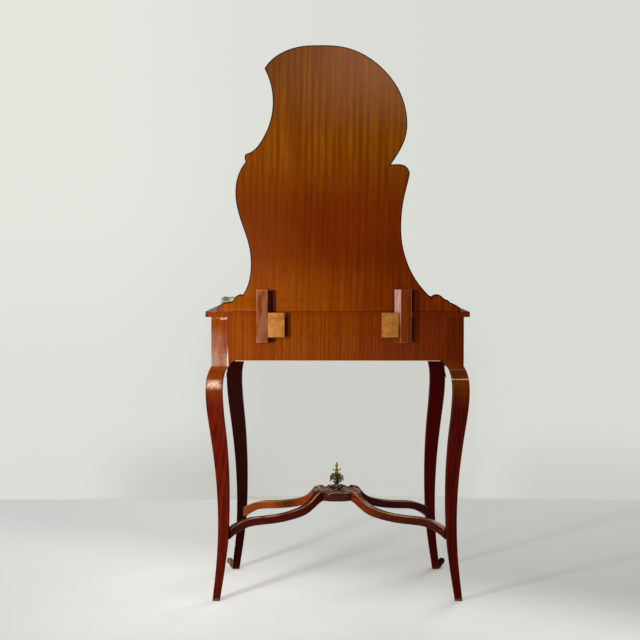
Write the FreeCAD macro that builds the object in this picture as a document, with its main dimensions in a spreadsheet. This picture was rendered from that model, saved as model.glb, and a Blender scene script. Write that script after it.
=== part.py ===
"""A French rocaille dressing table: cabriole legs, one drawer, a saltire stretcher and a lopsided mirror.

The floor is z = 0, the front faces -y, and x = 0 is the middle of the table. Lengths are millimetres.
Right means +x, as someone standing in front of the table sees it.
"""
import FreeCAD, Part
import math
import os
import re

from FreeCAD import Vector

SIZES = {
    # Carcass: two back posts and two front posts, the front pair closer together
    "back_half_width": 323,
    "front_inset": 30,
    "half_depth": 197,
    "top_height": 748,
    "top_thickness": 14,
    "post_side": 44,
    "post_foot_height": 606,
    "edge_softening": 1.6,
    "knee_sweep": 14.4,
    # Aprons
    "apron_foot_height": 621,
    "apron_thickness": 20,
    "bracket_width": 18,
    "block_side": 20,
    "block_length": 55,
    # Top and its bronze edge
    "top_side_overhang": 15,
    "top_front_overhang": 20,
    "top_bow": 6,
    "edge_band": 5,
    # Front rails and the opening for the drawer
    "front_setback": 10,
    "front_bow": 3,
    "front_rail_depth": 44,
    "top_rail_height": 16,
    "bottom_rail_height": 13.7,
    "runner_width": 40,
    "guide_width": 12,
    "guide_height": 20,
    "kicker_width": 24,
    "stop_height": 16,
    # Drawer
    "reveal": 1,
    "running_gap": 0.3,
    "side_gap": 0.8,
    "drawer_front_thickness": 20,
    "drawer_side_thickness": 10,
    "drawer_length": 317,
    "drawer_bottom_thickness": 5,
    "drawer_bottom_rise": 6,
    "drawer_back_drop": 5,
    "groove_depth": 3,
    # Lock, key and escutcheon
    "lock_half_width": 24,
    "lock_height": 40,
    "lock_depth": 9,
    "lock_wall": 1.8,
    "bolt_half_width": 8,
    "bolt_height": 18,
    "bolt_throw": 8,
    "key_drop": 29,
    "key_radius": 2,
    "key_clearance": 0.08,
    "bit_length": 7,
    "bit_thickness": 1.8,
    "bow_radius": 8,
    "bow_hole_radius": 4.6,
    "bow_thickness": 3,
    "key_reach": 24,
    "keyhole_radius": 2.6,
    "keyhole_slot_width": 3.2,
    "escutcheon_half_width": 15,
    "escutcheon_half_height": 22,
    "escutcheon_thickness": 1.6,
    "strike_half_width": 20,
    "strike_thickness": 1.2,
    # Drawer handles: a bail between two posts
    "handle_x": 130,
    "handle_rise": 54,
    "post_spacing": 80,
    "post_neck_radius": 3.2,
    "post_ball_radius": 5.4,
    "post_rose_radius": 10,
    "post_rose_thickness": 4,
    "post_stud_radius": 2,
    "post_stud_length": 12,
    "bail_standoff": 13,
    "bail_radius": 2.2,
    "pin_clearance": 0.08,
    "pin_reach": 7,
    "bail_elbow": 6,
    "bail_corner": 13,
    "bail_drop": 30,
    # Stretcher
    "plateau_radius": 66,
    "plateau_height": 235,
    "plateau_thickness": 22,
    "plateau_nose": 4,
    "arm_width": 18,
    "arm_thickness": 21.5,
    "arm_easing": 2.4,
    "arm_hub_rise": 9,
    "arm_leg_height": 163,
    # Bronze finial on the plateau
    "rosette_radius": 30,
    "rosette_height": 7,
    "finial_height": 76,
    "finial_radius": 19.5,
    "rod_radius": 3,
    "nut_height": 7,
    "nut_radius": 6.5,
    "rod_overrun": 2.5,
    # Bronze mounts of the front legs
    "mount_skin": 1.5,
    "knee_mount_height": 120,
    "knee_mount_width": 40,
    "sabot_height": 64,
    "sabot_width": 60,
    "sabot_curl_radius": 9,
    "sabot_curl_reach": 22,
    "sabot_curl_height": 17,
    "sabot_curl_thickness": 9,
    # Mirror
    "panel_width": 622,
    "panel_height": 675,
    "panel_thickness": 22,
    "frame_thickness": 15,
    "rebate_width": 7,
    "glass_thickness": 5,
    "glass_gap": 0.6,
    "mount_thickness": 8,
    "crest_width": 150,
    "crest_height": 58,
    "crest_x": 42,
    "crest_drop": 12,
    # Battens on the mirror's back and the dovetailed keepers on the apron
    "batten_right_x": 207,
    "batten_left_x": 188,
    "batten_width": 43,
    "batten_bevel": 15,
    "batten_thickness": 19.7,
    "batten_height": 135,
    "batten_foot_height": 670,
    "keeper_width": 43,
    "keeper_height": 63,
    "keeper_drop": 2,
    "keeper_right_gap": 0.8,
    "keeper_left_gap": 5,
    # Wood screws
    "screw_radius": 2,
    "screw_head_radius": 4,
    "screw_head_height": 2.5,
    "screw_length": 34,
    "screw_inset": 16,
    # One overrun for every cut that has to pass right through
    "overrun": 5,
}

# Leg sections from the post down to the floor: height as a share of post_foot_height, how far the outer
# faces stand out as a share of knee_sweep, and the side of the square as a share of post_side
LEG_SHARES = [
    (1.000, 0.10, 0.985),
    (0.985, 0.42, 0.960),
    (0.960, 0.76, 0.957),
    (0.930, 0.95, 0.952),
    (0.890, 1.00, 0.945),
    (0.840, 0.89, 0.940),
    (0.780, 0.61, 0.912),
    (0.710, 0.20, 0.880),
    (0.620, -0.28, 0.820),
    (0.520, -0.69, 0.750),
    (0.420, -0.93, 0.685),
    (0.330, -1.00, 0.640),
    (0.250, -0.93, 0.605),
    (0.170, -0.74, 0.545),
    (0.090, -0.43, 0.490),
    (0.030, -0.15, 0.450),
    (0.000, -0.02, 0.435),
]

# Stretcher arm from the plateau out to the middle of a leg: places along x and y and the height, each as
# a share of the way from hub to leg, then width and height as shares of arm_width and arm_thickness
ARM_SHARES = [
    (-0.052, -0.106, 1.02, 1.12, 0.90),
    (-0.020, -0.041, 1.05, 1.17, 1.20),
    (0.020, 0.041, 1.01, 1.17, 1.40),
    (0.076, 0.138, 0.85, 1.10, 1.30),
    (0.153, 0.252, 0.67, 1.04, 1.17),
    (0.261, 0.366, 0.55, 1.00, 1.07),
    (0.373, 0.455, 0.475, 1.00, 1.02),
    (0.526, 0.545, 0.42, 1.00, 1.00),
    (0.635, 0.602, 0.40, 1.00, 1.00),
    (0.739, 0.667, 0.365, 1.00, 1.03),
    (0.815, 0.732, 0.295, 1.00, 1.08),
    (0.888, 0.821, 0.185, 1.00, 1.15),
    (0.948, 0.919, 0.05, 1.00, 1.20),
]
HUB_SHARE = 0.712

# Back panel outline, seen from the front: across as a share of panel_width from the table's middle, up as
# a share of panel_height from the table top. Each run carries on from the last point of the one before it
PANEL_START_SHARES = (0.494, 0.0)
PANEL_RUN_SHARES = [
    [(0.494, 0.012)],
    [(0.487, 0.021), (0.477, 0.029), (0.458, 0.034), (0.434, 0.037)],
    [(0.421, 0.052), (0.411, 0.061), (0.401, 0.064), (0.391, 0.061)],
    [(0.370, 0.097), (0.357, 0.157), (0.364, 0.248), (0.395, 0.338), (0.417, 0.422), (0.4145, 0.489),
     (0.398, 0.534), (0.376, 0.564)],
    [(0.379, 0.579), (0.3755, 0.594)],
    [(0.342, 0.609), (0.315, 0.6385), (0.289, 0.6836), (0.271, 0.735), (0.265, 0.788), (0.272, 0.848),
     (0.298, 0.914)],
    [(0.262, 0.952), (0.205, 0.982), (0.141, 0.997), (0.069, 1.000), (-0.001, 0.997), (-0.068, 0.982),
     (-0.131, 0.952), (-0.190, 0.9076), (-0.241, 0.848), (-0.270, 0.788), (-0.283, 0.728),
     (-0.283, 0.684), (-0.271, 0.639), (-0.246, 0.594), (-0.218, 0.554)],
    [(-0.257, 0.555), (-0.277, 0.549), (-0.291, 0.534), (-0.295, 0.519)],
    [(-0.288, 0.489), (-0.272, 0.429), (-0.262, 0.360), (-0.2605, 0.308), (-0.267, 0.248),
     (-0.285, 0.188), (-0.3165, 0.127), (-0.3535, 0.082), (-0.385, 0.0516)],
    [(-0.3955, 0.061), (-0.408, 0.064), (-0.420, 0.062), (-0.4325, 0.0535), (-0.445, 0.044)],
    [(-0.453, 0.043), (-0.460, 0.0356)],
    [(-0.4696, 0.032), (-0.490, 0.023), (-0.506, 0.012)],
    [(-0.506, 0.0)],
]

# Edge of the frame round the glass, in the same shares
SIGHT_START_SHARES = (0.305, 0.071)
SIGHT_RUN_SHARES = [
    [(0.296, 0.111), (0.2926, 0.163), (0.3055, 0.247), (0.336, 0.338), (0.355, 0.422), (0.352, 0.489),
     (0.333, 0.536), (0.299, 0.578)],
    [(0.265, 0.610), (0.233, 0.661), (0.212, 0.726), (0.204, 0.788), (0.2106, 0.847), (0.235, 0.898)],
    [(0.201, 0.924), (0.145, 0.941), (0.069, 0.945), (-0.008, 0.939), (-0.080, 0.917), (-0.145, 0.874),
     (-0.190, 0.818), (-0.219, 0.753), (-0.225, 0.690), (-0.2106, 0.637), (-0.172, 0.580)],
    [(-0.209, 0.541), (-0.230, 0.501)],
    [(-0.220, 0.444), (-0.204, 0.370), (-0.201, 0.308), (-0.209, 0.244), (-0.230, 0.178),
     (-0.262, 0.1185), (-0.315, 0.071)],
]

# Sides of the top: half-width as a share of the widest, place as a share of the depth from the back
TOP_SIDE_SHARES = [(1.0, 0.0), (1.0, 0.24), (0.996, 0.48), (0.989, 0.73), (0.982, 0.96)]
TOP_CORNER_SHARES = [(0.978, 0.985), (0.960, 1.0)]

# Serpentine fronts: the angle of the wave from the middle to an end, and the points along it
WAVE_ANGLE = 1.5 * math.pi
WAVE_STEPS = 16

# Finial profile: radius as a share of finial_radius, height as a share of finial_height
FINIAL_FOOT_SHARE = 0.32
FINIAL_STEM_SHARES = [(0.22, 0.14), (0.22, 0.22), (0.34, 0.27)]
FINIAL_BODY_SHARES = [(0.80, 0.33), (1.00, 0.45), (0.86, 0.56), (0.40, 0.61), (0.22, 0.64)]
FINIAL_TIP_SHARES = [(0.20, 0.73), (0.15, 0.78), (0.19, 0.86), (0.05, 1.0)]
FINIAL_LEAF_SHARES = [(0.69, 0.67), (0.69, 0.695)]
ROSETTE_SHARES = [(0.95, 0.35), (0.62, 0.62), (0.30, 1.0)]

# Bronze leaf outlines, as shares of half a mount's width and of its height
KNEE_LEAF_SHARES = [(0.0, 0.0), (0.30, 0.16), (0.26, 0.30), (0.62, 0.42), (0.52, 0.56), (1.0, 0.74),
                    (0.86, 0.92), (0.62, 1.0)]
SABOT_LEAF_SHARES = [(1.0, 0.62), (0.66, 0.78), (0.46, 0.62), (0.24, 0.88), (0.0, 1.0)]
CREST_SHARES = [(0.0, 1.0), (0.16, 0.88), (0.34, 0.92), (0.42, 0.70), (0.70, 0.66), (1.0, 0.38),
                (0.82, 0.34), (0.60, 0.40), (0.36, 0.26), (0.14, 0.14), (0.0, 0.0)]
CREST_TURN = 8
ESCUTCHEON_SHARES = [(0.0, 1.0), (0.30, 0.86), (0.62, 0.80), (0.78, 0.48), (1.0, 0.12), (0.74, -0.30),
                     (0.66, -0.66), (0.28, -0.82), (0.0, -1.0)]

# Foot and shoulder mounts of the mirror, in the same shares as the panel's outline: the leaf on the right
# foot curls out past the wood, the one on the left foot stays on it
FOOT_RIGHT_SHARES = [(0.466, 0.008), (0.480, 0.026), (0.484, 0.044), (0.474, 0.0525), (0.452, 0.0535),
                     (0.428, 0.0535), (0.412, 0.0575), (0.392, 0.058), (0.366, 0.064), (0.350, 0.058),
                     (0.370, 0.042), (0.384, 0.024), (0.412, 0.008)]
FOOT_LEFT_SHARES = [(-0.470, 0.008), (-0.478, 0.018), (-0.462, 0.030), (-0.445, 0.034), (-0.432, 0.046),
                    (-0.415, 0.056), (-0.395, 0.054), (-0.372, 0.062), (-0.352, 0.056), (-0.372, 0.040),
                    (-0.384, 0.024), (-0.410, 0.008)]
SHOULDER_SHARES = [(0.3845, 0.586), (0.3775, 0.5965), (0.352, 0.604), (0.330, 0.615), (0.308, 0.632),
                   (0.300, 0.615), (0.322, 0.590), (0.340, 0.566), (0.362, 0.553)]

doc = FreeCAD.newDocument("dressing_table")
sheet = doc.addObject("Spreadsheet::Sheet", "Sizes")
for row, (alias, number) in enumerate(SIZES.items(), start=1):
    sheet.set(f"A{row}", alias)
    sheet.set(f"B{row}", str(number))
    sheet.setAlias(f"B{row}", alias)
doc.recompute()

pieces = []


def mm(formula):
    """Work out a formula over the sheet's sizes."""
    return float(sheet.evalExpression(formula))


def bind(obj, place, formula):
    """Tie a property of an object to a formula over the sheet's sizes."""
    obj.setExpression(place, re.sub(r"[a-z]\w*", r"Sizes.\g<0>", formula))


def put(obj, x="0", y="0", z="0"):
    """Tie an object's place to the sheet."""
    for axis, formula in zip("xyz", (x, y, z)):
        bind(obj, f"Placement.Base.{axis}", formula)


def named(obj, label):
    """Give a finished sub-part its name."""
    obj.Label = label
    pieces.append(obj)
    return obj


def new_body(name):
    return doc.addObject("PartDesign::Body", name)


def box(name, corner, length, width, height):
    """A plain square-edged board or block from its low corner."""
    solid = doc.addObject("Part::Box", name)
    for side, formula in (("Length", length), ("Width", width), ("Height", height)):
        bind(solid, side, formula)
    put(solid, *corner)
    return solid


def rod(name, centre, radius, height, along="z"):
    """A round bar whose low end is at the centre given, along one axis."""
    solid = doc.addObject("Part::Cylinder", name)
    bind(solid, "Radius", radius)
    bind(solid, "Height", height)
    turns = {"z": (Vector(0, 0, 1), 0), "x": (Vector(0, 1, 0), 90), "y": (Vector(1, 0, 0), -90)}
    solid.Placement.Rotation = FreeCAD.Rotation(*turns[along])
    put(solid, *centre)
    return solid


def joined(name, kind, members):
    """A MultiFuse, MultiCommon or Compound of other objects."""
    result = doc.addObject(f"Part::{kind}", name)
    if kind == "Compound":
        result.Links = members
    else:
        result.Shapes = members
    return result


def cut(name, base, *tools):
    """The base less every tool, as a chain of cuts."""
    for number, tool in enumerate(tools, start=1):
        result = doc.addObject("Part::Cut", name if number == len(tools) else f"{name}_cut_{number}")
        result.Base = base
        result.Tool = tool
        base = result
    return base


def shaped(name, shape):
    """A piece whose form comes straight from geometry worked out here."""
    piece = doc.addObject("Part::Feature", name)
    piece.Shape = shape
    return piece


def new_sketch(body, role, curves):
    """A sketch on one of the body's own origin planes."""
    sketch = body.newObject("Sketcher::SketchObject", f"{body.Name}_sketch")
    plane = next(feature for feature in body.Origin.OriginFeatures if feature.Role == role)
    sketch.AttachmentSupport = [(plane, "")]
    sketch.MapMode = "FlatFace"
    sketch.addGeometry(curves, False)
    return sketch


def lines(points):
    """Straight edges round a closed polygon."""
    return [Part.LineSegment(a, b) for a, b in zip(points, points[1:] + points[:1])]


def smooth(points):
    """One smooth curve through the points."""
    curve = Part.BSplineCurve()
    curve.interpolate(points)
    return curve


def chain(start, runs):
    """Edges from run to run: a straight one to a single point, a smooth one through several."""
    edges = []
    for run in runs:
        points = [start] + run
        edges.append(smooth(points) if len(run) > 1 else Part.LineSegment(*points))
        start = run[-1]
    return edges


def pad(body, role, curves, length, backwards=False):
    """Pad a closed outline along the normal of its plane."""
    feature = body.newObject("PartDesign::Pad", f"{body.Name}_pad")
    feature.Profile = new_sketch(body, role, curves)
    feature.Reversed = backwards
    bind(feature, "Length", length)
    return feature


def pocket(body, role, curves):
    """Cut a closed outline right through the body, both ways from its plane."""
    doc.recompute()
    before = body.Shape.Volume
    feature = body.newObject("PartDesign::Pocket", f"{body.Name}_pocket")
    feature.Profile = new_sketch(body, role, curves)
    feature.SideType = "Symmetric"
    feature.Type = "ThroughAll"
    doc.recompute()
    if body.Shape.Volume >= before:
        raise RuntimeError(f"{body.Label}: the pocket cuts nothing")
    return feature


def turned(name, curves, base):
    """A lathe-turned piece: a half profile in x and z spun round the z axis, its base at a height."""
    body = new_body(name)
    feature = body.newObject("PartDesign::Revolution", f"{name}_turning")
    sketch = new_sketch(body, "XZ_Plane", curves)
    feature.Profile = sketch
    feature.ReferenceAxis = (sketch, ["V_Axis"])
    feature.Angle = 360
    put(body, z=base)
    return body


def rounded_section(centre, side, radius):
    """A level square with rounded corners about a centre."""
    half = side / 2
    tuck = radius * (1 - math.sqrt(0.5))
    edges = []
    for sign_x, sign_y, turn in ((1, 1, 1), (-1, 1, -1), (-1, -1, 1), (1, -1, -1)):
        side_on = centre + Vector(sign_x * half, sign_y * (half - radius))
        middle = centre + Vector(sign_x * (half - tuck), sign_y * (half - tuck))
        end_on = centre + Vector(sign_x * (half - radius), sign_y * half)
        ends = (side_on, end_on) if turn > 0 else (end_on, side_on)
        edges.append(Part.Arc(ends[0], middle, ends[1]).toShape())
    whole = []
    for edge, following in zip(edges, edges[1:] + edges[:1]):
        whole.append(edge)
        whole.append(Part.LineSegment(edge.Vertexes[1].Point, following.Vertexes[0].Point).toShape())
    return Part.Wire(whole)


def leg_outer(side, end):
    """Outer faces of a leg's post, as distances from the middle: side is right or left, end back or front."""
    inset = mm("front_inset") if end == "front" else 0
    x = (mm("back_half_width") - inset) * (1 if side == "right" else -1)
    return x, mm("half_depth") * (1 if end == "back" else -1)


def leg_stack(side, end, skin=0.0):
    """The curved part of a leg, below its post, grown outwards by a skin."""
    x, y = leg_outer(side, end)
    wires = []
    for height_share, out_share, side_share in LEG_SHARES:
        out = out_share * mm("knee_sweep")
        width = side_share * mm("post_side")
        centre = Vector(math.copysign(abs(x) + out - width / 2, x),
                        math.copysign(abs(y) + out - width / 2, y),
                        height_share * mm("post_foot_height"))
        wires.append(rounded_section(centre, width + 2 * skin, mm("edge_softening") + skin))
    return Part.makeLoft(wires, True, False)


def leg(side, end):
    """A cabriole leg sawn from the square, with the post that the aprons are tenoned into."""
    x, y = leg_outer(side, end)
    post_side = mm("post_side")
    foot = mm("post_foot_height")
    centre = Vector(x - math.copysign(post_side / 2, x), y - math.copysign(post_side / 2, y), foot)
    section = rounded_section(centre, post_side, mm("edge_softening"))
    post = Part.Face(section).extrude(Vector(0, 0, mm("top_height - top_thickness") - foot))
    return leg_stack(side, end).fuse(post).removeSplitter()


def legs():
    """Four legs, each its own piece."""
    return {(side, end): named(shaped(f"leg_{end}_{side}", leg(side, end)), f"leg_{end}_{side}")
            for end in ("back", "front") for side in ("right", "left")}


def arched_edge(half_length, low):
    """The waste below an apron: straight along the middle and rounded down to the posts."""
    rise = mm("apron_foot_height - post_foot_height")
    reach = mm("bracket_width")
    overrun = mm("overrun")
    lean = math.sqrt(0.5)
    right_foot = Vector(half_length, low)
    right_top = Vector(half_length - reach, low + rise)
    right_middle = Vector(half_length - reach * (1 - lean), low + rise * lean)
    left_foot, left_top, left_middle = (Vector(-p.x, p.y) for p in (right_foot, right_top, right_middle))
    below = Vector(0, overrun)
    return [Part.Arc(right_foot, right_middle, right_top), Part.LineSegment(right_top, left_top),
            Part.Arc(left_top, left_middle, left_foot), Part.LineSegment(left_foot, left_foot - below),
            Part.LineSegment(left_foot - below, right_foot - below),
            Part.LineSegment(right_foot - below, right_foot)]


APRON_HEIGHT = "top_height - top_thickness - post_foot_height"


def back_apron():
    """The back apron, flush with the back posts, its lower edge sawn to brackets at the ends."""
    half = mm("back_half_width - post_side")
    back = mm("half_depth")
    inner = mm("half_depth - apron_thickness")
    body = new_body("back_apron_blank")
    outline = [Vector(-half, inner), Vector(half, inner), Vector(half, back), Vector(-half, back)]
    pad(body, "XY_Plane", lines(outline), APRON_HEIGHT)
    put(body, z="post_foot_height")
    pocket(body, "XZ_Plane", arched_edge(half, 0))
    return body


def side_apron(side):
    """A side apron from back post to front post, which follows the narrowing of the table."""
    sign = 1 if side == "right" else -1
    reach = mm("half_depth - post_side")
    thickness = mm("apron_thickness")
    back_x, front_x = mm("back_half_width"), mm("back_half_width - front_inset")
    outline = [Vector(sign * back_x, reach), Vector(sign * front_x, -reach),
               Vector(sign * (front_x - thickness), -reach), Vector(sign * (back_x - thickness), reach)]
    body = new_body(f"side_apron_{side}")
    pad(body, "XY_Plane", lines(outline), APRON_HEIGHT)
    put(body, z="post_foot_height")
    pocket(body, "YZ_Plane", arched_edge(reach, 0))
    return named(body, f"side_apron_{side}")


def bowed(half_width, front, bow):
    """Points along a serpentine front from right to left: out in the middle, in beside it."""
    points = []
    for step in range(WAVE_STEPS + 1):
        share = 1 - 2 * step / WAVE_STEPS
        points.append(Vector(share * half_width, -front - bow * math.cos(WAVE_ANGLE * share)))
    return points


def bowed_front_y(x):
    """Where the bowed face of the rails and the drawer lies, at a distance from the middle."""
    share = x / mm("back_half_width - front_inset - post_side")
    return -mm("half_depth - front_setback") - mm("front_bow") * math.cos(WAVE_ANGLE * share)


def bowed_plan(half_width, back):
    """Plan of a rail or drawer front: straight behind, the common serpentine in front."""
    face = []
    for step in range(WAVE_STEPS + 1):
        x = half_width * (1 - 2 * step / WAVE_STEPS)
        face.append(Vector(x, bowed_front_y(x)))
    right_back, left_back = Vector(half_width, back), Vector(-half_width, back)
    return [smooth(face), Part.LineSegment(face[-1], left_back), Part.LineSegment(left_back, right_back),
            Part.LineSegment(right_back, face[0])]


def front_rails():
    """The two rails across the front, above and below the drawer."""
    half = mm("back_half_width - front_inset - post_side")
    back = -mm("half_depth - front_rail_depth")
    top = new_body("top_rail_blank")
    pad(top, "XY_Plane", bowed_plan(half, back), "top_rail_height")
    put(top, z="top_height - top_thickness - top_rail_height")
    bottom = new_body("front_bottom_rail")
    pad(bottom, "XY_Plane", bowed_plan(half, back),
        "apron_foot_height + bottom_rail_height - post_foot_height")
    put(bottom, z="post_foot_height")
    pocket(bottom, "XZ_Plane", arched_edge(half, 0))
    named(bottom, "front_bottom_rail")
    return top


OPENING_HALF = "(back_half_width - front_inset - post_side)"
RUNNER_TOP = "(apron_foot_height + bottom_rail_height)"
DRAWER_FOOT = "(apron_foot_height + bottom_rail_height + running_gap)"
RAIL_UNDERSIDE = "(top_height - top_thickness - top_rail_height)"
RUNNER_FRONT = "(front_rail_depth - half_depth)"
RUNNER_LENGTH = "(2 * half_depth - front_rail_depth - apron_thickness)"
DRAWER_BACK_PLANE = "(front_setback + drawer_front_thickness - half_depth)"
DRAWER_HALF = "(back_half_width - front_inset - post_side - side_gap)"


def runners():
    """What the drawer runs on, between and under, and the stops that it meets at the back."""
    kickers, stops = [], []
    for side in ("right", "left"):
        inner = OPENING_HALF + " - runner_width + guide_width"
        guide = OPENING_HALF
        kicker = OPENING_HALF + " - kicker_width"
        if side == "left":
            inner = "-" + OPENING_HALF + " - guide_width"
            guide = "-" + OPENING_HALF + " - guide_width"
            kicker = "-" + OPENING_HALF
        runner = box(f"drawer_runner_{side}", (inner, RUNNER_FRONT, "apron_foot_height"),
                     "runner_width", RUNNER_LENGTH, "bottom_rail_height")
        named(runner, f"drawer_runner_{side}")
        strip = box(f"drawer_guide_{side}", (guide, RUNNER_FRONT, RUNNER_TOP),
                    "guide_width", RUNNER_LENGTH, "guide_height")
        named(strip, f"drawer_guide_{side}")
        kickers.append(box(f"kicker_{side}", (kicker, RUNNER_FRONT, RAIL_UNDERSIDE),
                           "kicker_width", RUNNER_LENGTH, "top_rail_height"))
        back = DRAWER_BACK_PLANE + " + drawer_length + running_gap"
        stops.append(box(f"stop_{side}", (kicker, back, RUNNER_TOP), "kicker_width",
                         f"half_depth - apron_thickness - ({back})", "stop_height"))
    named(joined("drawer_kickers", "Compound", kickers), "drawer_kickers")
    named(joined("drawer_stops", "Compound", stops), "drawer_stops")


GLUE_BLOCKS = 5


def glue_blocks():
    """Softwood blocks glued in the corner between the back apron and the top."""
    blocks = []
    spacing = f"(2 * (back_half_width - post_side) / {GLUE_BLOCKS + 1})"
    for number in range(1, GLUE_BLOCKS + 1):
        blocks.append(box(f"glue_block_{number}",
                          (f"post_side - back_half_width + {number} * {spacing} - block_length / 2",
                           "half_depth - apron_thickness - block_side",
                           "top_height - top_thickness - block_side"),
                          "block_length", "block_side", "block_side"))
    return named(joined("glue_blocks", "Compound", blocks), "glue_blocks")


def top_plan(inset):
    """Plan of the top: straight at the back, drawn in at the sides, bowed at the front."""
    half = mm("back_half_width + top_side_overhang") - inset
    back = mm("half_depth")
    depth = mm("2 * half_depth + top_front_overhang - top_bow") - inset
    side = [Vector(half * x, back - depth * y) for x, y in TOP_SIDE_SHARES]
    corner = [side[-1]] + [Vector(half * x, back - depth * y) for x, y in TOP_CORNER_SHARES]
    front = bowed(corner[-1].x, mm("half_depth + top_front_overhang - top_bow") - inset, mm("top_bow"))
    mirrored = [[Vector(-p.x, p.y) for p in reversed(points)] for points in (corner, side)]
    edges = [smooth(side), smooth(corner), smooth(front), smooth(mirrored[0]), smooth(mirrored[1])]
    return edges + [Part.LineSegment(mirrored[1][-1], side[0])]


def table_top():
    """The veneered top, flush with the back apron, and the bronze band let round its other edges."""
    wood = new_body("table_top")
    pad(wood, "XY_Plane", top_plan(mm("edge_band")), "top_thickness")
    put(wood, z="top_height - top_thickness")
    named(wood, "table_top")
    outer = new_body("band_outer")
    pad(outer, "XY_Plane", top_plan(0.0), "top_thickness")
    put(outer, z="top_height - top_thickness")
    return named(cut("top_edge_moulding", outer, wood), "top_edge_moulding")


def plateau():
    """The turned block where the stretcher's arms meet, bored for the finial's rod."""
    radius, thickness, nose = mm("plateau_radius"), mm("plateau_thickness"), mm("plateau_nose")
    bore = mm("rod_radius")
    lean = nose * math.sqrt(0.5)
    points = [Vector(bore, 0), Vector(radius - nose, 0), Vector(radius, nose),
              Vector(radius, thickness - nose), Vector(radius - nose, thickness), Vector(bore, thickness)]
    low = Vector(radius - nose + lean, nose - lean)
    high = Vector(radius - nose + lean, thickness - nose + lean)
    curves = [Part.LineSegment(points[0], points[1]), Part.Arc(points[1], low, points[2]),
              Part.LineSegment(points[2], points[3]), Part.Arc(points[3], high, points[4]),
              Part.LineSegment(points[4], points[5]), Part.LineSegment(points[5], points[0])]
    return turned("stretcher_plateau", curves, "plateau_height")


def eased_section(centre, across, width, height, ease):
    """An upright rectangle about a centre with its four corners eased off."""
    wide, high = width / 2, height / 2
    corners = [(wide, ease - high), (wide, high - ease), (wide - ease, high), (ease - wide, high),
               (-wide, high - ease), (-wide, ease - high), (ease - wide, -high), (wide - ease, -high)]
    points = [centre + across * a + Vector(0, 0, b) for a, b in corners]
    return Part.makePolygon(points + points[:1])


def arm_shape(side, end):
    """One serpentine arm, lofted through upright sections square to its plan."""
    x, y = leg_outer(side, end)
    hub = mm("plateau_radius") * HUB_SHARE
    low, rise = mm("arm_leg_height"), mm("plateau_height + arm_hub_rise - arm_leg_height")
    joint = min(LEG_SHARES, key=lambda row: abs(row[0] * mm("post_foot_height") - low))
    middle = joint[1] * mm("knee_sweep") - joint[2] * mm("post_side") / 2
    reach_x, reach_y = abs(x) + middle - hub, abs(y) + middle - hub
    places = [Vector(math.copysign(hub + reach_x * row[0], x), math.copysign(hub + reach_y * row[1], y),
                     low + rise * row[2]) for row in ARM_SHARES]
    wires = []
    for number, (place, row) in enumerate(zip(places, ARM_SHARES)):
        ahead, behind = places[min(number + 1, len(places) - 1)], places[max(number - 1, 0)]
        heading = Vector(ahead.x - behind.x, ahead.y - behind.y, 0).normalize()
        wires.append(eased_section(place, heading.cross(Vector(0, 0, 1)), row[3] * mm("arm_width"),
                                   row[4] * mm("arm_thickness"), mm("arm_easing")))
    return Part.makeLoft(wires, True, False)


def stretcher(legs_by_place):
    """Plateau and four arms: each arm is coped over the plateau's rim and against its leg."""
    hub = plateau()
    disc = rod("plateau_disc", ("0", "0", "plateau_height"), "plateau_radius", "plateau_thickness")
    for (side, end), post in legs_by_place.items():
        blank = shaped(f"arm_blank_{end}_{side}", arm_shape(side, end))
        name = f"stretcher_arm_{end}_{side}"
        named(cut(name, blank, disc, post), name)
    return named(hub, "stretcher_plateau")


def finial():
    """The bronze finial: a leafy rosette, the urn of leaves with its rod, and the nut underneath."""
    top = "plateau_height + plateau_thickness"
    radius, height, bore = mm("rosette_radius"), mm("rosette_height"), mm("rod_radius")
    curve = [Vector(radius, 0)] + [Vector(radius * r, height * z) for r, z in ROSETTE_SHARES]
    rosette = turned("finial_rosette",
                     [smooth(curve), Part.LineSegment(curve[-1], Vector(bore, height)),
                      Part.LineSegment(Vector(bore, height), Vector(bore, 0)),
                      Part.LineSegment(Vector(bore, 0), curve[0])], top)
    named(rosette, "finial_rosette")
    wide, tall = mm("finial_radius"), mm("finial_height")

    def at(shares):
        return [Vector(wide * r, tall * z) for r, z in shares]

    foot = Vector(wide * FINIAL_FOOT_SHARE, height)
    stem = [foot] + at(FINIAL_STEM_SHARES)
    body = [stem[-1]] + at(FINIAL_BODY_SHARES)
    leaf = at(FINIAL_LEAF_SHARES)
    tip = at(FINIAL_TIP_SHARES)
    rod_foot = -mm("plateau_thickness + nut_height + rod_overrun")
    curves = [smooth(stem), smooth(body), Part.LineSegment(body[-1], leaf[0]), Part.LineSegment(*leaf),
              Part.LineSegment(leaf[1], tip[0]), smooth(tip), Part.LineSegment(tip[-1], Vector(0, tip[-1].y)),
              Part.LineSegment(Vector(0, tip[-1].y), Vector(0, rod_foot)),
              Part.LineSegment(Vector(0, rod_foot), Vector(bore, rod_foot)),
              Part.LineSegment(Vector(bore, rod_foot), Vector(bore, height)),
              Part.LineSegment(Vector(bore, height), foot)]
    named(turned("finial", curves, top), "finial")
    blank = doc.addObject("Part::Prism", "nut_blank")
    blank.Polygon = 6
    bind(blank, "Circumradius", "nut_radius")
    bind(blank, "Height", "nut_height")
    put(blank, z="plateau_height - nut_height")
    hole = rod("nut_hole", ("0", "0", "plateau_height - nut_height"), "rod_radius", "nut_height")
    named(cut("finial_nut", blank, hole), "finial_nut")


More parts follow.
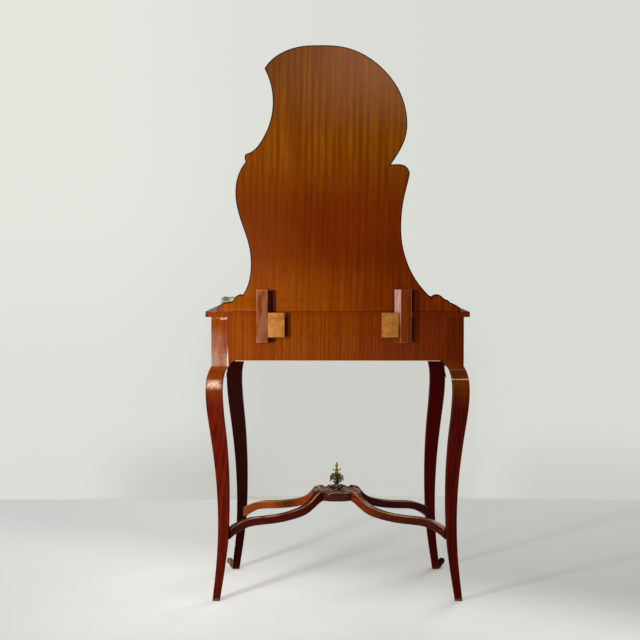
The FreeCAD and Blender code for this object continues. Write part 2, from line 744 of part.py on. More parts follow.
def leaf_prism(name, x, y, foot, width, height, shares):
    """A leaf outline stood on the leg's outer corner and carried through it from corner to corner."""
    outward = Vector(math.copysign(1, x), math.copysign(1, y), 0).normalize()
    across = outward.cross(Vector(0, 0, 1))
    depth = mm("post_side")
    corner = Vector(x, y, foot) - outward * depth / 2
    right = [corner + across * (width / 2 * a) + Vector(0, 0, height * b) for a, b in shares]
    left = [corner - across * (width / 2 * a) + Vector(0, 0, height * b) for a, b in reversed(shares)]
    return shaped(name, Part.Face(Part.makePolygon(right + left + right[:1])).extrude(outward * depth))


def front_mounts(legs_by_place):
    """Bronze knee mounts and sabots: thin skins over the outer corners of the front legs."""
    for side in ("right", "left"):
        x, y = leg_outer(side, "front")
        post = legs_by_place[(side, "front")]
        skin = shaped(f"leg_skin_{side}", leg_stack(side, "front", mm("mount_skin")))
        knee_foot = mm("post_foot_height - knee_mount_height")
        knee = leaf_prism(f"knee_leaf_{side}", x, y, knee_foot, mm("knee_mount_width"),
                          mm("knee_mount_height"), KNEE_LEAF_SHARES)
        shell = joined(f"knee_shell_{side}", "MultiCommon", [skin, knee])
        named(cut(f"knee_mount_{side}", shell, post), f"knee_mount_{side}")
        sabot(side, x, y, skin, post)


def sabot(side, x, y, skin, post):
    """A sabot: a sheath on the foot's two outer faces with a leafy top edge and a scrolled toe."""
    outward = Vector(math.copysign(1, x), math.copysign(1, y), 0).normalize()
    across = outward.cross(Vector(0, 0, 1))
    height, half = mm("sabot_height"), mm("sabot_width") / 2
    foot_side = LEG_SHARES[-1][2] * mm("post_side")
    centre = Vector(x, y, 0) - outward * (foot_side * math.sqrt(0.5))
    outline = [across * half]
    outline += [across * (half * a) + Vector(0, 0, height * b) for a, b in SABOT_LEAF_SHARES]
    outline += [across * (-half * a) + Vector(0, 0, height * b)
                for a, b in reversed(SABOT_LEAF_SHARES[:-1])]
    outline += [across * -half]
    outline = [point + centre for point in outline]
    sheath = Part.Face(Part.makePolygon(outline + outline[:1])).extrude(outward * half)
    leaf = shaped(f"sabot_leaf_{side}", sheath)
    shell = joined(f"sabot_sheath_{side}", "MultiCommon", [skin, leaf])
    toe = curl(Vector(x, y, 0), outward, across)
    whole = joined(f"sabot_whole_{side}", "MultiFuse", [shell, shaped(f"sabot_curl_{side}", toe)])
    named(cut(f"sabot_{side}", whole, post), f"sabot_{side}")


def curl(corner, outward, across):
    """The scroll at a sabot's toe: a short roll joined to the foot by a web."""
    radius, reach = mm("sabot_curl_radius"), mm("sabot_curl_reach")
    height, thickness = mm("sabot_curl_height"), mm("sabot_curl_thickness")
    inner = corner - outward * thickness
    centre = corner + outward * (reach - radius) + Vector(0, 0, height)
    roll = Part.makeCylinder(radius, thickness, centre - across * (thickness / 2), across)
    low = Vector(0, 0, height - radius)
    web = [inner, corner + outward * (reach - 2 * radius), centre - Vector(0, 0, height) + low,
           centre, centre - outward * radius, inner + Vector(0, 0, height + radius)]
    web = [point - across * (thickness / 2) for point in web]
    return roll.fuse(Part.Face(Part.makePolygon(web + web[:1])).extrude(across * thickness))


def panel_point(shares):
    """A point of the mirror's face, from its shares of the panel, in x and z above the top."""
    return Vector(shares[0] * mm("panel_width"), shares[1] * mm("panel_height"))


def mirror_outline(start_shares, run_shares, spread=0.0):
    """The curves of a closed outline on the mirror's face, its last side straight along the foot.

    A spread moves every point outwards, square to the chord between its neighbours.
    """
    points = [panel_point(shares) for run in [[start_shares]] + run_shares for shares in run]
    spread_points = []
    for number, point in enumerate(points):
        chord = points[(number + 1) % len(points)] - points[number - 1]
        spread_points.append(point + Vector(chord.y, -chord.x, 0).normalize() * spread)
    start, rest = spread_points[0], spread_points[1:]
    runs = []
    for run in run_shares:
        runs.append(rest[:len(run)])
        rest = rest[len(run):]
    return chain(start, runs) + [Part.LineSegment(runs[-1][-1], start)]


MIRROR_FOOT = "(top_height + running_gap)"
PANEL_FRONT = "(half_depth + running_gap - panel_thickness)"


def upright(name, curves, plane, thickness):
    """A flat outline drawn in x and z, carried forwards from a plane to a thickness."""
    face = Part.Face(Part.Wire([curve.toShape() for curve in curves]))
    face.rotate(Vector(0, 0, 0), Vector(1, 0, 0), 90)
    piece = shaped(name, face.extrude(Vector(0, -mm(thickness), 0)))
    put(piece, y=plane, z=MIRROR_FOOT)
    return piece


def mirror():
    """The mirror: a veneered back panel, a moulded frame planted on it, and the glass in its rebate."""
    body = new_body("panel_blank")
    curves = mirror_outline(PANEL_START_SHARES, PANEL_RUN_SHARES)
    pad(body, "XZ_Plane", curves, "panel_thickness")
    put(body, y="half_depth + running_gap", z=MIRROR_FOOT)
    blank = upright("frame_blank", curves, PANEL_FRONT, "frame_thickness")
    sight = mirror_outline(SIGHT_START_SHARES, SIGHT_RUN_SHARES)
    rebate = mirror_outline(SIGHT_START_SHARES, SIGHT_RUN_SHARES, mm("rebate_width"))
    glass = mirror_outline(SIGHT_START_SHARES, SIGHT_RUN_SHARES, mm("rebate_width - glass_gap"))
    opening = upright("frame_opening", sight, PANEL_FRONT, "frame_thickness")
    bed = upright("frame_rebate", rebate, PANEL_FRONT, "glass_thickness + glass_gap")
    named(cut("mirror_frame", blank, opening, bed), "mirror_frame")
    named(upright("mirror_glass", glass, PANEL_FRONT, "glass_thickness"), "mirror_glass")
    return body


def mirror_mounts():
    """Bronze leaves on the frame: a lopsided crest, one shoulder and the two feet."""
    plane = PANEL_FRONT + " - frame_thickness"
    for name, shares in (("foot_mount_right", FOOT_RIGHT_SHARES), ("foot_mount_left", FOOT_LEFT_SHARES),
                         ("shoulder_mount", SHOULDER_SHARES)):
        points = [panel_point(share) for share in shares]
        named(upright(name, [smooth(points + points[:1])], plane, "mount_thickness"), name)
    half, height = mm("crest_width / 2"), mm("crest_height")
    turn = FreeCAD.Rotation(Vector(0, 0, 1), CREST_TURN)
    foot = Vector(mm("crest_x"), mm("panel_height - crest_height - crest_drop"))
    right = [foot + turn.multVec(Vector(half * a, height * b)) for a, b in CREST_SHARES]
    left = [foot + turn.multVec(Vector(-half * a, height * b)) for a, b in reversed(CREST_SHARES)]
    named(upright("crest_mount", [smooth(right), smooth(left)], plane, "mount_thickness"), "crest_mount")


def batten(side):
    """A batten on the mirror's back: its inner side is bevelled so that it is widest at the apron."""
    sign = 1 if side == "right" else -1
    outer = sign * mm(f"batten_{side}_x")
    inner = outer - sign * mm("batten_width")
    face = mm("half_depth + running_gap")
    back = face + mm("batten_thickness")
    outline = [Vector(outer, face), Vector(outer, back), Vector(inner + sign * mm("batten_bevel"), back),
               Vector(inner, face)]
    body = new_body(f"batten_blank_{side}")
    pad(body, "XY_Plane", lines(outline), "batten_height")
    put(body, z="batten_foot_height")
    return body


KEEPER_FOOT = "(top_height - keeper_drop - keeper_height)"
KEEPER_SCREW_SHARES = (0.2, 0.6)


def keeper(side):
    """A raw wood keeper on the back apron, undercut to hold the batten against it."""
    sign = 1 if side == "right" else -1
    bevel = sign * mm("batten_bevel")
    back_edge = sign * mm(f"batten_{side}_x - batten_width - keeper_{side}_gap") + bevel
    inner = back_edge - sign * mm("keeper_width")
    face = mm("half_depth")
    back = face + mm("batten_thickness + running_gap")
    outline = [Vector(inner, face), Vector(inner, back), Vector(back_edge, back),
               Vector(back_edge - bevel, face)]
    body = new_body(f"keeper_blank_{side}")
    pad(body, "XY_Plane", lines(outline), "keeper_height")
    put(body, z=KEEPER_FOOT)
    return body


def wood_screw(name, x, y, z):
    """A countersunk wood screw along y: its head flush with a face, pointing to the back."""
    head = doc.addObject("Part::Cone", f"{name}_head")
    bind(head, "Radius1", "screw_head_radius")
    bind(head, "Radius2", "screw_radius")
    bind(head, "Height", "screw_head_height")
    head.Placement.Rotation = FreeCAD.Rotation(Vector(1, 0, 0), -90)
    put(head, x, y, z)
    shank = rod(f"{name}_shank", (x, y, z), "screw_radius", "screw_length", "y")
    return joined(name, "MultiFuse", [head, shank])


def backs_and_screws(panel, apron):
    """Battens screwed to the panel, keepers screwed through the apron from inside."""
    batten_screws, keeper_screws = [], []
    battens, keepers = {}, {}
    for side, sign in (("right", ""), ("left", "-")):
        battens[side], keepers[side] = batten(side), keeper(side)
        batten_x = f"{sign}(batten_{side}_x - (batten_width - batten_bevel) / 2)"
        keeper_x = (f"{sign}(batten_{side}_x - batten_width - keeper_{side}_gap"
                    " - (keeper_width - batten_bevel) / 2)")
        for number, share in enumerate(KEEPER_SCREW_SHARES, start=1):
            low = f"top_height + {number} * screw_inset"
            batten_screws.append(wood_screw(f"batten_screw_{side}_{number}", batten_x, PANEL_FRONT, low))
            low = f"{KEEPER_FOOT} + {share} * keeper_height"
            keeper_screws.append(wood_screw(f"keeper_screw_{side}_{number}", keeper_x,
                                            "half_depth - apron_thickness", low))
    batten_group = joined("batten_screws", "Compound", batten_screws)
    keeper_group = joined("keeper_screws", "Compound", keeper_screws)
    for side in ("right", "left"):
        named(cut(f"batten_{side}", battens[side], batten_group), f"batten_{side}")
        named(cut(f"keeper_block_{side}", keepers[side], keeper_group), f"keeper_block_{side}")
    named(cut("mirror_back_panel", panel, batten_group), "mirror_back_panel")
    named(cut("back_apron_bored", apron, keeper_group), "back_apron")
    named(batten_group, "batten_screws")
    named(keeper_group, "keeper_screws")


DRAWER_FRONT_FOOT = "(apron_foot_height + bottom_rail_height + reveal)"
LOCK_TOP = "(top_height - top_thickness - top_rail_height - reveal)"
KEY_HEIGHT = "(top_height - top_thickness - top_rail_height - reveal - key_drop)"


def keyhole(name, back):
    """The round and the slot of a keyhole, from in front of the drawer to a plane behind."""
    front = "-half_depth"
    length = f"({back}) + half_depth"
    hole = rod(f"{name}_round", ("0", front, KEY_HEIGHT), "keyhole_radius", length, "y")
    slot_foot = KEY_HEIGHT + " - bit_length - keyhole_radius"
    slot = box(f"{name}_slot", ("-keyhole_slot_width / 2", front, slot_foot),
               "keyhole_slot_width", length, "bit_length + keyhole_radius")
    return joined(name, "MultiFuse", [hole, slot])


def lock(rail):
    """The drawer lock: a case with a sliding bolt, its key, the escutcheon and the rail's strike plate."""
    inner = DRAWER_BACK_PLANE
    case = box("lock_blank", ("-lock_half_width", inner, LOCK_TOP + " - lock_height"),
               "2 * lock_half_width", "lock_depth", "lock_height")
    slot_front = inner + " + lock_wall"
    slot_depth = "lock_depth - 2 * lock_wall"
    slot_foot = LOCK_TOP + " - bolt_height - running_gap"
    slot = box("bolt_slot", ("-bolt_half_width - running_gap", slot_front, slot_foot),
               "2 * (bolt_half_width + running_gap)", slot_depth, "bolt_height + running_gap")
    cavity = rod("bit_cavity", ("0", slot_front, KEY_HEIGHT), "bit_length + reveal", slot_depth, "y")
    socket = rod("key_socket", ("0", slot_front, KEY_HEIGHT), "key_radius + key_clearance",
                 "lock_depth - lock_wall", "y")
    mouth = keyhole("case_mouth", slot_front)
    named(cut("lock_case", case, slot, cavity, socket, mouth), "lock_case")
    bolt_corner = ("-bolt_half_width", slot_front + " + running_gap", LOCK_TOP + " - bolt_height")
    bolt = box("lock_bolt", bolt_corner, "2 * bolt_half_width", slot_depth + " - 2 * running_gap",
               "bolt_height")
    named(bolt, "lock_bolt")
    plate = box("strike_blank", ("-strike_half_width", inner, RAIL_UNDERSIDE),
                "2 * strike_half_width", "lock_depth", "strike_thickness")
    mortise_corner = ("-bolt_half_width - reveal", slot_front + " - reveal / 2", RAIL_UNDERSIDE)
    mortise = box("bolt_mortise", mortise_corner,
                  "2 * (bolt_half_width + reveal)", slot_depth + " + reveal", "bolt_throw + 2 * reveal")
    named(cut("strike_plate", plate, mortise), "strike_plate")
    named(cut("front_top_rail", rail, plate, mortise), "front_top_rail")


def key():
    """The key in the lock: pin, bit hanging down, and a pierced bow."""
    front = bowed_front_y(0) - mm("escutcheon_thickness + key_reach")
    back = mm(DRAWER_BACK_PLANE + " + lock_depth")
    height, radius = mm(KEY_HEIGHT), mm("bow_radius")
    hole, thickness = mm("bow_hole_radius"), mm("bow_thickness")
    ring_centre = Vector(-thickness / 2, front + radius, height)
    ring = Part.makeCylinder(radius, thickness, ring_centre, Vector(1, 0, 0))
    ring = ring.cut(Part.makeCylinder(hole, thickness, ring_centre, Vector(1, 0, 0)))
    pin_front = front + radius + (radius + hole) / 2
    pin = Part.makeCylinder(mm("key_radius"), back - pin_front, Vector(0, pin_front, height),
                            Vector(0, 1, 0))
    gap = mm("running_gap")
    bit_front = mm(DRAWER_BACK_PLANE + " + lock_wall") + gap
    bit = Part.makeBox(mm("bit_thickness"), mm("lock_depth - 2 * lock_wall") - 2 * gap, mm("bit_length"),
                       Vector(-mm("bit_thickness") / 2, bit_front, height - mm("bit_length")))
    return named(shaped("key", ring.fuse([pin, bit]).removeSplitter()), "key")


def escutcheon(hole):
    """The bronze keyhole plate: a small cartouche flat on the drawer front."""
    half, tall = mm("escutcheon_half_width"), mm("escutcheon_half_height")
    right = [Vector(half * a, tall * b) for a, b in ESCUTCHEON_SHARES]
    left = [Vector(-p.x, p.y) for p in reversed(right)]
    plate = new_body("escutcheon_blank")
    pad(plate, "XZ_Plane", [smooth(right), smooth(left)], "escutcheon_thickness")
    put(plate, y="front_setback - half_depth - front_bow", z=KEY_HEIGHT)
    return named(cut("escutcheon", plate, hole), "escutcheon")


def handle_post(x, pivot_y, pivot_z):
    """A turned bronze post: stud, rose, neck and a ball bored for the bail's pin."""
    face = bowed_front_y(x)
    inwards = Vector(0, 1, 0)
    sunk = Vector(x, face + mm("reveal"), pivot_z)
    rose = Part.makeCylinder(mm("post_rose_radius"), mm("post_rose_thickness + reveal"), sunk, -inwards)
    neck = Part.makeCylinder(mm("post_neck_radius"), sunk.y - pivot_y, sunk, -inwards)
    ball = Part.makeSphere(mm("post_ball_radius"), Vector(x, pivot_y, pivot_z))
    stud = Part.makeCylinder(mm("post_stud_radius"), mm("post_stud_length"), sunk, inwards)
    reach = mm("post_ball_radius + overrun")
    bore = Part.makeCylinder(mm("bail_radius + pin_clearance"), 2 * reach,
                             Vector(x - reach, pivot_y, pivot_z), Vector(1, 0, 0))
    return rose.fuse([neck, ball, stud]).cut(bore)


def bail(middle, pivot_y, pivot_z):
    """A drop handle bent from one round bar, its two pins turned in towards each other."""
    half, drop = mm("post_spacing / 2"), mm("bail_drop")
    elbow, corner = mm("bail_elbow"), mm("bail_corner")
    shoulder = half + mm("post_ball_radius + bail_radius / 2")
    outer = shoulder + elbow
    lean = math.sqrt(0.5)

    def at(a, b):
        return Vector(middle + a, pivot_y, pivot_z + b)

    runs = []
    for sign in (-1, 1):
        side = [
            Part.LineSegment(at(sign * (half - mm("pin_reach")), 0), at(sign * shoulder, 0)),
            Part.Arc(at(sign * shoulder, 0), at(sign * (shoulder + elbow * lean), -elbow * (1 - lean)),
                     at(sign * outer, -elbow)),
            Part.LineSegment(at(sign * outer, -elbow), at(sign * outer, corner - drop)),
            Part.Arc(at(sign * outer, corner - drop),
                     at(sign * (outer - corner * (1 - lean)), corner * (1 - lean) - drop),
                     at(sign * (outer - corner), -drop)),
        ]
        runs.append([piece.toShape() for piece in side])
    grip = Part.LineSegment(at(-(outer - corner), -drop), at(outer - corner, -drop)).toShape()
    path = Part.Wire(runs[0] + [grip] + list(reversed(runs[1])))
    start = at(-(half - mm("pin_reach")), 0)
    section = Part.Wire(Part.makeCircle(mm("bail_radius"), start, Vector(1, 0, 0)))
    return path.makePipeShell([section], True, True)


def handles():
    """Two bail handles on the drawer, each with its own pair of posts."""
    posts = []
    pivot_z = mm(DRAWER_FRONT_FOOT + " + handle_rise")
    for side, sign in (("right", 1), ("left", -1)):
        middle = sign * mm("handle_x")
        pivot_y = bowed_front_y(middle) - mm("bail_standoff")
        half = mm("post_spacing / 2")
        pair = Part.makeCompound([handle_post(middle - half, pivot_y, pivot_z),
                                  handle_post(middle + half, pivot_y, pivot_z)])
        posts.append(named(shaped(f"handle_posts_{side}", pair), f"handle_posts_{side}"))
        named(shaped(f"handle_{side}", bail(middle, pivot_y, pivot_z)), f"handle_{side}")
    return posts


def drawer():
    """The drawer: bowed front, two sides, back, and a bottom held in grooves."""
    front = new_body("drawer_front_blank")
    half = mm(OPENING_HALF + " - reveal")
    pad(front, "XY_Plane", bowed_plan(half, mm(DRAWER_BACK_PLANE)),
        f"{LOCK_TOP} - {DRAWER_FRONT_FOOT}")
    put(front, z=DRAWER_FRONT_FOOT)
    inner = f"({DRAWER_HALF} - drawer_side_thickness)"
    bottom_height = f"({DRAWER_FOOT} + drawer_bottom_rise)"
    bottom_corner = (f"-{inner} - groove_depth", DRAWER_BACK_PLANE + " - groove_depth", bottom_height)
    bottom = box("drawer_bottom", bottom_corner, f"2 * ({inner} + groove_depth)",
                 "drawer_length + groove_depth", "drawer_bottom_thickness")
    named(bottom, "drawer_bottom")
    side_height = f"{LOCK_TOP} - {DRAWER_FOOT} - reveal"
    for side, low in (("right", inner), ("left", f"-{DRAWER_HALF}")):
        blank = box(f"drawer_side_blank_{side}", (low, DRAWER_BACK_PLANE, DRAWER_FOOT),
                    "drawer_side_thickness", "drawer_length", side_height)
        named(cut(f"drawer_side_{side}", blank, bottom), f"drawer_side_{side}")
    back_foot = f"({bottom_height} + drawer_bottom_thickness)"
    back_plane = DRAWER_BACK_PLANE + " + drawer_length - drawer_side_thickness"
    back = box("drawer_back", (f"-{inner}", back_plane, back_foot), f"2 * {inner}",
               "drawer_side_thickness", f"{LOCK_TOP} - {back_foot} - reveal - drawer_back_drop")
    named(back, "drawer_back")
    hole = keyhole("front_keyhole", DRAWER_BACK_PLANE)
    escutcheon(hole)
    posts = handles()
    named(cut("drawer_front", front, bottom, hole, *posts), "drawer_front")


legs_by_place = legs()
apron = back_apron()
side_apron("right")
side_apron("left")
lock(front_rails())
runners()
glue_blocks()
table_top()
stretcher(legs_by_place)
finial()
front_mounts(legs_by_place)
backs_and_screws(mirror(), apron)
mirror_mounts()
drawer()
key()
doc.recompute()

for obj in doc.Objects:
    if {"Invalid", "Error"} & set(obj.State):
        raise RuntimeError(f"{obj.Label} failed: {obj.State}")
os.makedirs("parts", exist_ok=True)
for piece in pieces:
    if piece.Shape.isNull() or not piece.Shape.isValid() or not piece.Shape.Solids:
        raise RuntimeError(f"{piece.Label} has no sound solid")
for piece in pieces:
    piece.Shape.exportStep(os.path.join("parts", f"{piece.Label}.step"))
    print(f"{piece.Label}: {len(piece.Shape.Solids)} solids, {piece.Shape.Volume:.0f} mm3")
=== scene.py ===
import bmesh
import bpy
import math
from mathutils import Matrix, Vector


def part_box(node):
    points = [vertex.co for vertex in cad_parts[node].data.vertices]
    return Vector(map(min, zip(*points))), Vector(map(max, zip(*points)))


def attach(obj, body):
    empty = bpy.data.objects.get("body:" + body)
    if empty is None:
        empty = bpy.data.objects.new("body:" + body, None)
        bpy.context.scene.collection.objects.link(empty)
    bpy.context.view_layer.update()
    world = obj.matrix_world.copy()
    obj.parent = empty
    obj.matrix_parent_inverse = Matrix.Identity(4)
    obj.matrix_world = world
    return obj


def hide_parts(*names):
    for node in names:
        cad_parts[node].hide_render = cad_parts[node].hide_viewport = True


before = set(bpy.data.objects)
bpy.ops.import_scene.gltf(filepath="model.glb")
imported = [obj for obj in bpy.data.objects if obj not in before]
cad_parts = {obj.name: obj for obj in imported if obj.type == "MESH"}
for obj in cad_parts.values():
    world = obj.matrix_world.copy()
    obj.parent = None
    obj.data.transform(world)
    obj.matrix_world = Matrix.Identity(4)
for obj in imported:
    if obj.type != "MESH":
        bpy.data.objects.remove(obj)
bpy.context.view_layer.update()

# Room: a pale wall and plain soft light. A tall narrow window stands on the left of the photograph, on the
# camera's side, and a broad one far off lights the table's front. The camera looks at the table's back.
CAMERA_PLACE = (0.045, 3.897, 0.914)
CAMERA_DEGREES = (87.1, 0.0, 180.0)
CAMERA_LENS = 81.56
SENSOR_WIDTH = 36.0

camera_data = bpy.data.cameras.new("camera")
camera_data.sensor_width = SENSOR_WIDTH
camera_data.lens = CAMERA_LENS
camera = bpy.data.objects.new("camera", camera_data)
camera.location = CAMERA_PLACE
camera.rotation_euler = [math.radians(part) for part in CAMERA_DEGREES]
bpy.context.scene.collection.objects.link(camera)
bpy.context.scene.camera = camera


def window(name, place, target, width, height, watts, colour, spread=180):
    """A rectangular soft light that faces a point."""
    light = bpy.data.lights.new(name, "AREA")
    light.shape = "RECTANGLE"
    light.size, light.size_y = width, height
    light.energy = watts
    light.color = colour
    light.spread = math.radians(spread)
    holder = bpy.data.objects.new(name, light)
    holder.location = place
    holder.rotation_euler = (Vector(target) - Vector(place)).to_track_quat("-Z", "Y").to_euler()
    bpy.context.scene.collection.objects.link(holder)


window("left_window", place=(0.95, 1.25, 0.80), target=(0.27, 0.17, 0.52), width=0.16, height=0.5,
       watts=3.2, colour=(1.0, 0.96, 0.90), spread=66)
window("front_window", place=(-1.6, -2.6, 1.9), target=(0.0, 0.0, 0.7), width=1.4, height=1.6,
       watts=34.0, colour=(1.0, 0.99, 0.97))


class Reading:
    """The value of a shader socket: Python's operators on it add Math nodes."""

    def __init__(self, finish, socket):
        self.finish = finish
        self.socket = socket

    def maths(self, operation, *values):
        return self.finish.node("Math", {"operation": operation}, dict(enumerate(values)))

    def __add__(self, other):
        return self.maths("ADD", self, other)

    def __sub__(self, other):
        return self.maths("SUBTRACT", self, other)

    def __rsub__(self, other):
        return self.maths("SUBTRACT", other, self)

    def __mul__(self, other):
        return self.maths("MULTIPLY", self, other)

    def __abs__(self):
        return self.maths("ABSOLUTE", self)

    __radd__ = __add__
    __rmul__ = __mul__

    def larger(self, other):
        return self.maths("MAXIMUM", self, other)

    def rising(self, low, high):
        """0 up to the low value and 1 from the high one, with a soft step between."""
        return self.finish.node("MapRange", {"interpolation_type": "SMOOTHSTEP"},
                                {"Value": self, "From Min": low, "From Max": high})

    def between(self, start, full, fading, end):
        """0 outside the start and the end and 1 from full to fading, with soft steps."""
        return self.rising(start, full) * self.rising(end, fading)


class Finish:
    """A material or a world: node() adds any node to it, and its readings can be used in Python sums."""

    def __init__(self, name, owners=bpy.data.materials, coordinates="Object"):
        self.material = owners.new(name)
        self.material.use_nodes = True
        self.nodes = self.material.node_tree.nodes
        self.links = self.material.node_tree.links
        self.place = self.node("TexCoord", output=coordinates)

    def fill(self, node, sockets):
        for name, value in sockets.items():
            if isinstance(value, Reading):
                self.links.new(value.socket, node.inputs[name])
            else:
                node.inputs[name].default_value = value

    def node(self, kind, settings=None, sockets=None, output=0):
        made = self.nodes.new("ShaderNode" + kind)
        for name, value in (settings or {}).items():
            setattr(made, name, value)
        self.fill(made, sockets or {})
        return Reading(self, made.outputs[output])

    def surface(self, sockets):
        self.fill(self.nodes["Principled BSDF"], sockets)

    def along(self, axis):
        """The coordinate along x, y or z."""
        return self.node("SeparateXYZ", {}, {0: self.place}, "xyz".index(axis))

    def marked(self, name):
        """What a mesh's attribute says, from 0 to 1."""
        return self.node("Attribute", {"attribute_name": name}, output="Fac")

    def mixed(self, share, first, second, how="MIX"):
        return self.node("Mix", {"data_type": "RGBA", "blend_type": how},
                         {0: share, 6: first, 7: second}, 2)

    def noise(self, scale, detail=2.0, stretch=(1.0, 1.0, 1.0), at=None):
        where = self.node("Mapping", {}, {"Vector": at or self.place, "Scale": stretch})
        return self.node("TexNoise", {}, {"Vector": where, "Scale": scale, "Detail": detail})

    def bumped(self, height, depth, strength):
        return self.node("Bump", {}, {"Height": height, "Distance": depth, "Strength": strength}, "Normal")


# The wall is painted on the sky, with painted light on the window's side, a painted shadow behind the table
# and painted shade low down and along the floor line. Its places are parts of a direction of length 1:
# aside and rise.
WALL = (0.69, 0.705, 0.66, 1.0)
LIT_WALL = (0.79, 0.79, 0.74, 1.0)
TABLE_SHADOW_ON_WALL = (0.615, 0.615, 0.575, 1.0)
LOW_WALL_SHADE = (0.84, 0.84, 0.83, 1.0)
TABLE_SHADOW_ASIDE = (-0.14, -0.06, 0.03, 0.10)
TABLE_SHADOW_RISE = (-0.03, -0.09)
SHADED_LEFT = (0.02, 0.08, 0.10, 0.17)
SHADED_RIGHT = (-0.11, -0.15)
LOW_WALL_RISE = (-0.115, -0.165)
FLOOR_LINE_SHADE = (-0.1695, -0.1710)
CEILING_GLOW = (0.85, 0.86, 0.86, 1.0)
LEVEL_GLOW = (0.20, 0.205, 0.21, 1.0)
DARK_END = (0.015, 0.014, 0.013, 1.0)

bpy.context.scene.view_settings.view_transform = "Standard"
room_air = Finish("room_air", bpy.data.worlds, "Generated")
bpy.context.scene.world = room_air.material
aside = room_air.along("x")
rise = room_air.along("z")
lit = aside.rising(-0.12, 0.12) * rise.rising(-0.12, 0.06) * 0.6 + aside.rising(0.05, 0.16) * 0.4
wall = room_air.mixed(lit, WALL, LIT_WALL)
# Painted shadow of the table on the wall behind it.
table_shadow = aside.between(*TABLE_SHADOW_ASIDE) * rise.rising(*TABLE_SHADOW_RISE)
wall = room_air.mixed(table_shadow, wall, TABLE_SHADOW_ON_WALL)
# Painted shade low on the wall, darkest along the floor line.
low_wall_shading = aside.between(*SHADED_LEFT) + aside.rising(*SHADED_RIGHT) * 0.7 + 0.1
low_wall_shading = low_wall_shading * rise.rising(*LOW_WALL_RISE) + rise.rising(*FLOOR_LINE_SHADE) * 0.5
wall = room_air.mixed(low_wall_shading, wall, LOW_WALL_SHADE, "MULTIPLY")
dark_end = room_air.along("y").rising(-0.1, 0.5) * room_air.node("LightPath", output="Is Glossy Ray")
glow = room_air.mixed(rise.rising(0.25, 0.95), LEVEL_GLOW, CEILING_GLOW)
glow = room_air.mixed(dark_end, glow, DARK_END)
seen = room_air.mixed(room_air.node("LightPath", output="Is Camera Ray"), glow, wall)
room_air.fill(room_air.nodes["Background"], {"Color": seen})

# Floor: smooth pale paint with a painted pool of the window's light, painted shade towards the wall on the
# far side, and a faint glow of its own. It is staging, and ends where the floor meets the wall behind the
# table.
FLOOR_FAR_EDGE = -1.309
FLOOR_NEAR_EDGE = 4.997
FLOOR_HALF_WIDTH = 4.0
FLOOR_PAINT = (0.76, 0.76, 0.73, 1.0)
SCUFFED_PAINT = (0.78, 0.78, 0.75, 1.0)
LIT_LEFT_FLOOR = (0.80, 0.80, 0.77, 1.0)
SHADED_RIGHT_FLOOR = (0.44, 0.44, 0.421, 1.0)
SUNNY_GLOW = (1.0, 1.0, 0.97, 1.0)
FAR_GLOW = (0.25, 0.25, 0.24, 1.0)

floor_mesh = bmesh.new()
floor_middle = Vector((0.0, (FLOOR_FAR_EDGE + FLOOR_NEAR_EDGE) / 2, 0.0))
floor_scale = Vector((FLOOR_HALF_WIDTH, (FLOOR_NEAR_EDGE - FLOOR_FAR_EDGE) / 2, 1.0))
bmesh.ops.create_grid(floor_mesh, x_segments=1, y_segments=1, size=1.0,
                      matrix=Matrix.LocRotScale(floor_middle, None, floor_scale))
floor_data = bpy.data.meshes.new("floor")
floor_mesh.to_mesh(floor_data)
floor_mesh.free()
floor = bpy.data.objects.new("floor", floor_data)
bpy.context.scene.collection.objects.link(floor)
floor_paint = Finish("floor_paint")
scuffs = floor_paint.noise(3.0, 3.0).rising(0.35, 0.65)
# Painted light: where the window's pool lies, the floor shows its plain paint and glows brighter.
window_light_pool = (floor_paint.along("y") + floor_paint.along("x") * 0.65).rising(-0.45, 0.30)
painted = floor_paint.mixed(scuffs, FLOOR_PAINT, SCUFFED_PAINT)
# Painted shade across the floor, darkest on the side away from the window.
light_across_floor = floor_paint.mixed(floor_paint.along("x").rising(-1.1, 1.1), SHADED_RIGHT_FLOOR, LIT_LEFT_FLOOR)
floor_paint.surface({"Base Color": floor_paint.mixed(window_light_pool, light_across_floor, painted), "Roughness": 0.7,
                     "Emission Color": floor_paint.mixed(window_light_pool, FAR_GLOW, SUNNY_GLOW),
                     "Emission Strength": 0.19})
floor_data.materials.append(floor_paint.material)

# Legs: four cabriole legs sawn and shaved from square blanks of solid mahogany, each in one piece with the
# post that the aprons are tenoned into. The back pair carries a painted sheen and painted highlights on the
# window's side and painted shade on the other; the front pair's backs are painted in shade, darker away
# from the window.
MM = 0.001
UPRIGHT = (1.0, 1.0, 0.03)


def tone(red, green, blue):
    """A colour from 0 to 255 as it is seen, in the linear numbers that a shader takes."""
    return tuple((part / 255) ** 2.2 for part in (red, green, blue)) + (1.0,)


def deeper(colour, share):
    """A colour with only a share of its light."""
    return tuple(part * share for part in colour[:3]) + (1.0,)


def drawn_out(grain, share):
    """A grain's stretch, with its pattern longer or shorter along the timber."""
    return tuple(part if part == 1.0 else part * share for part in grain)


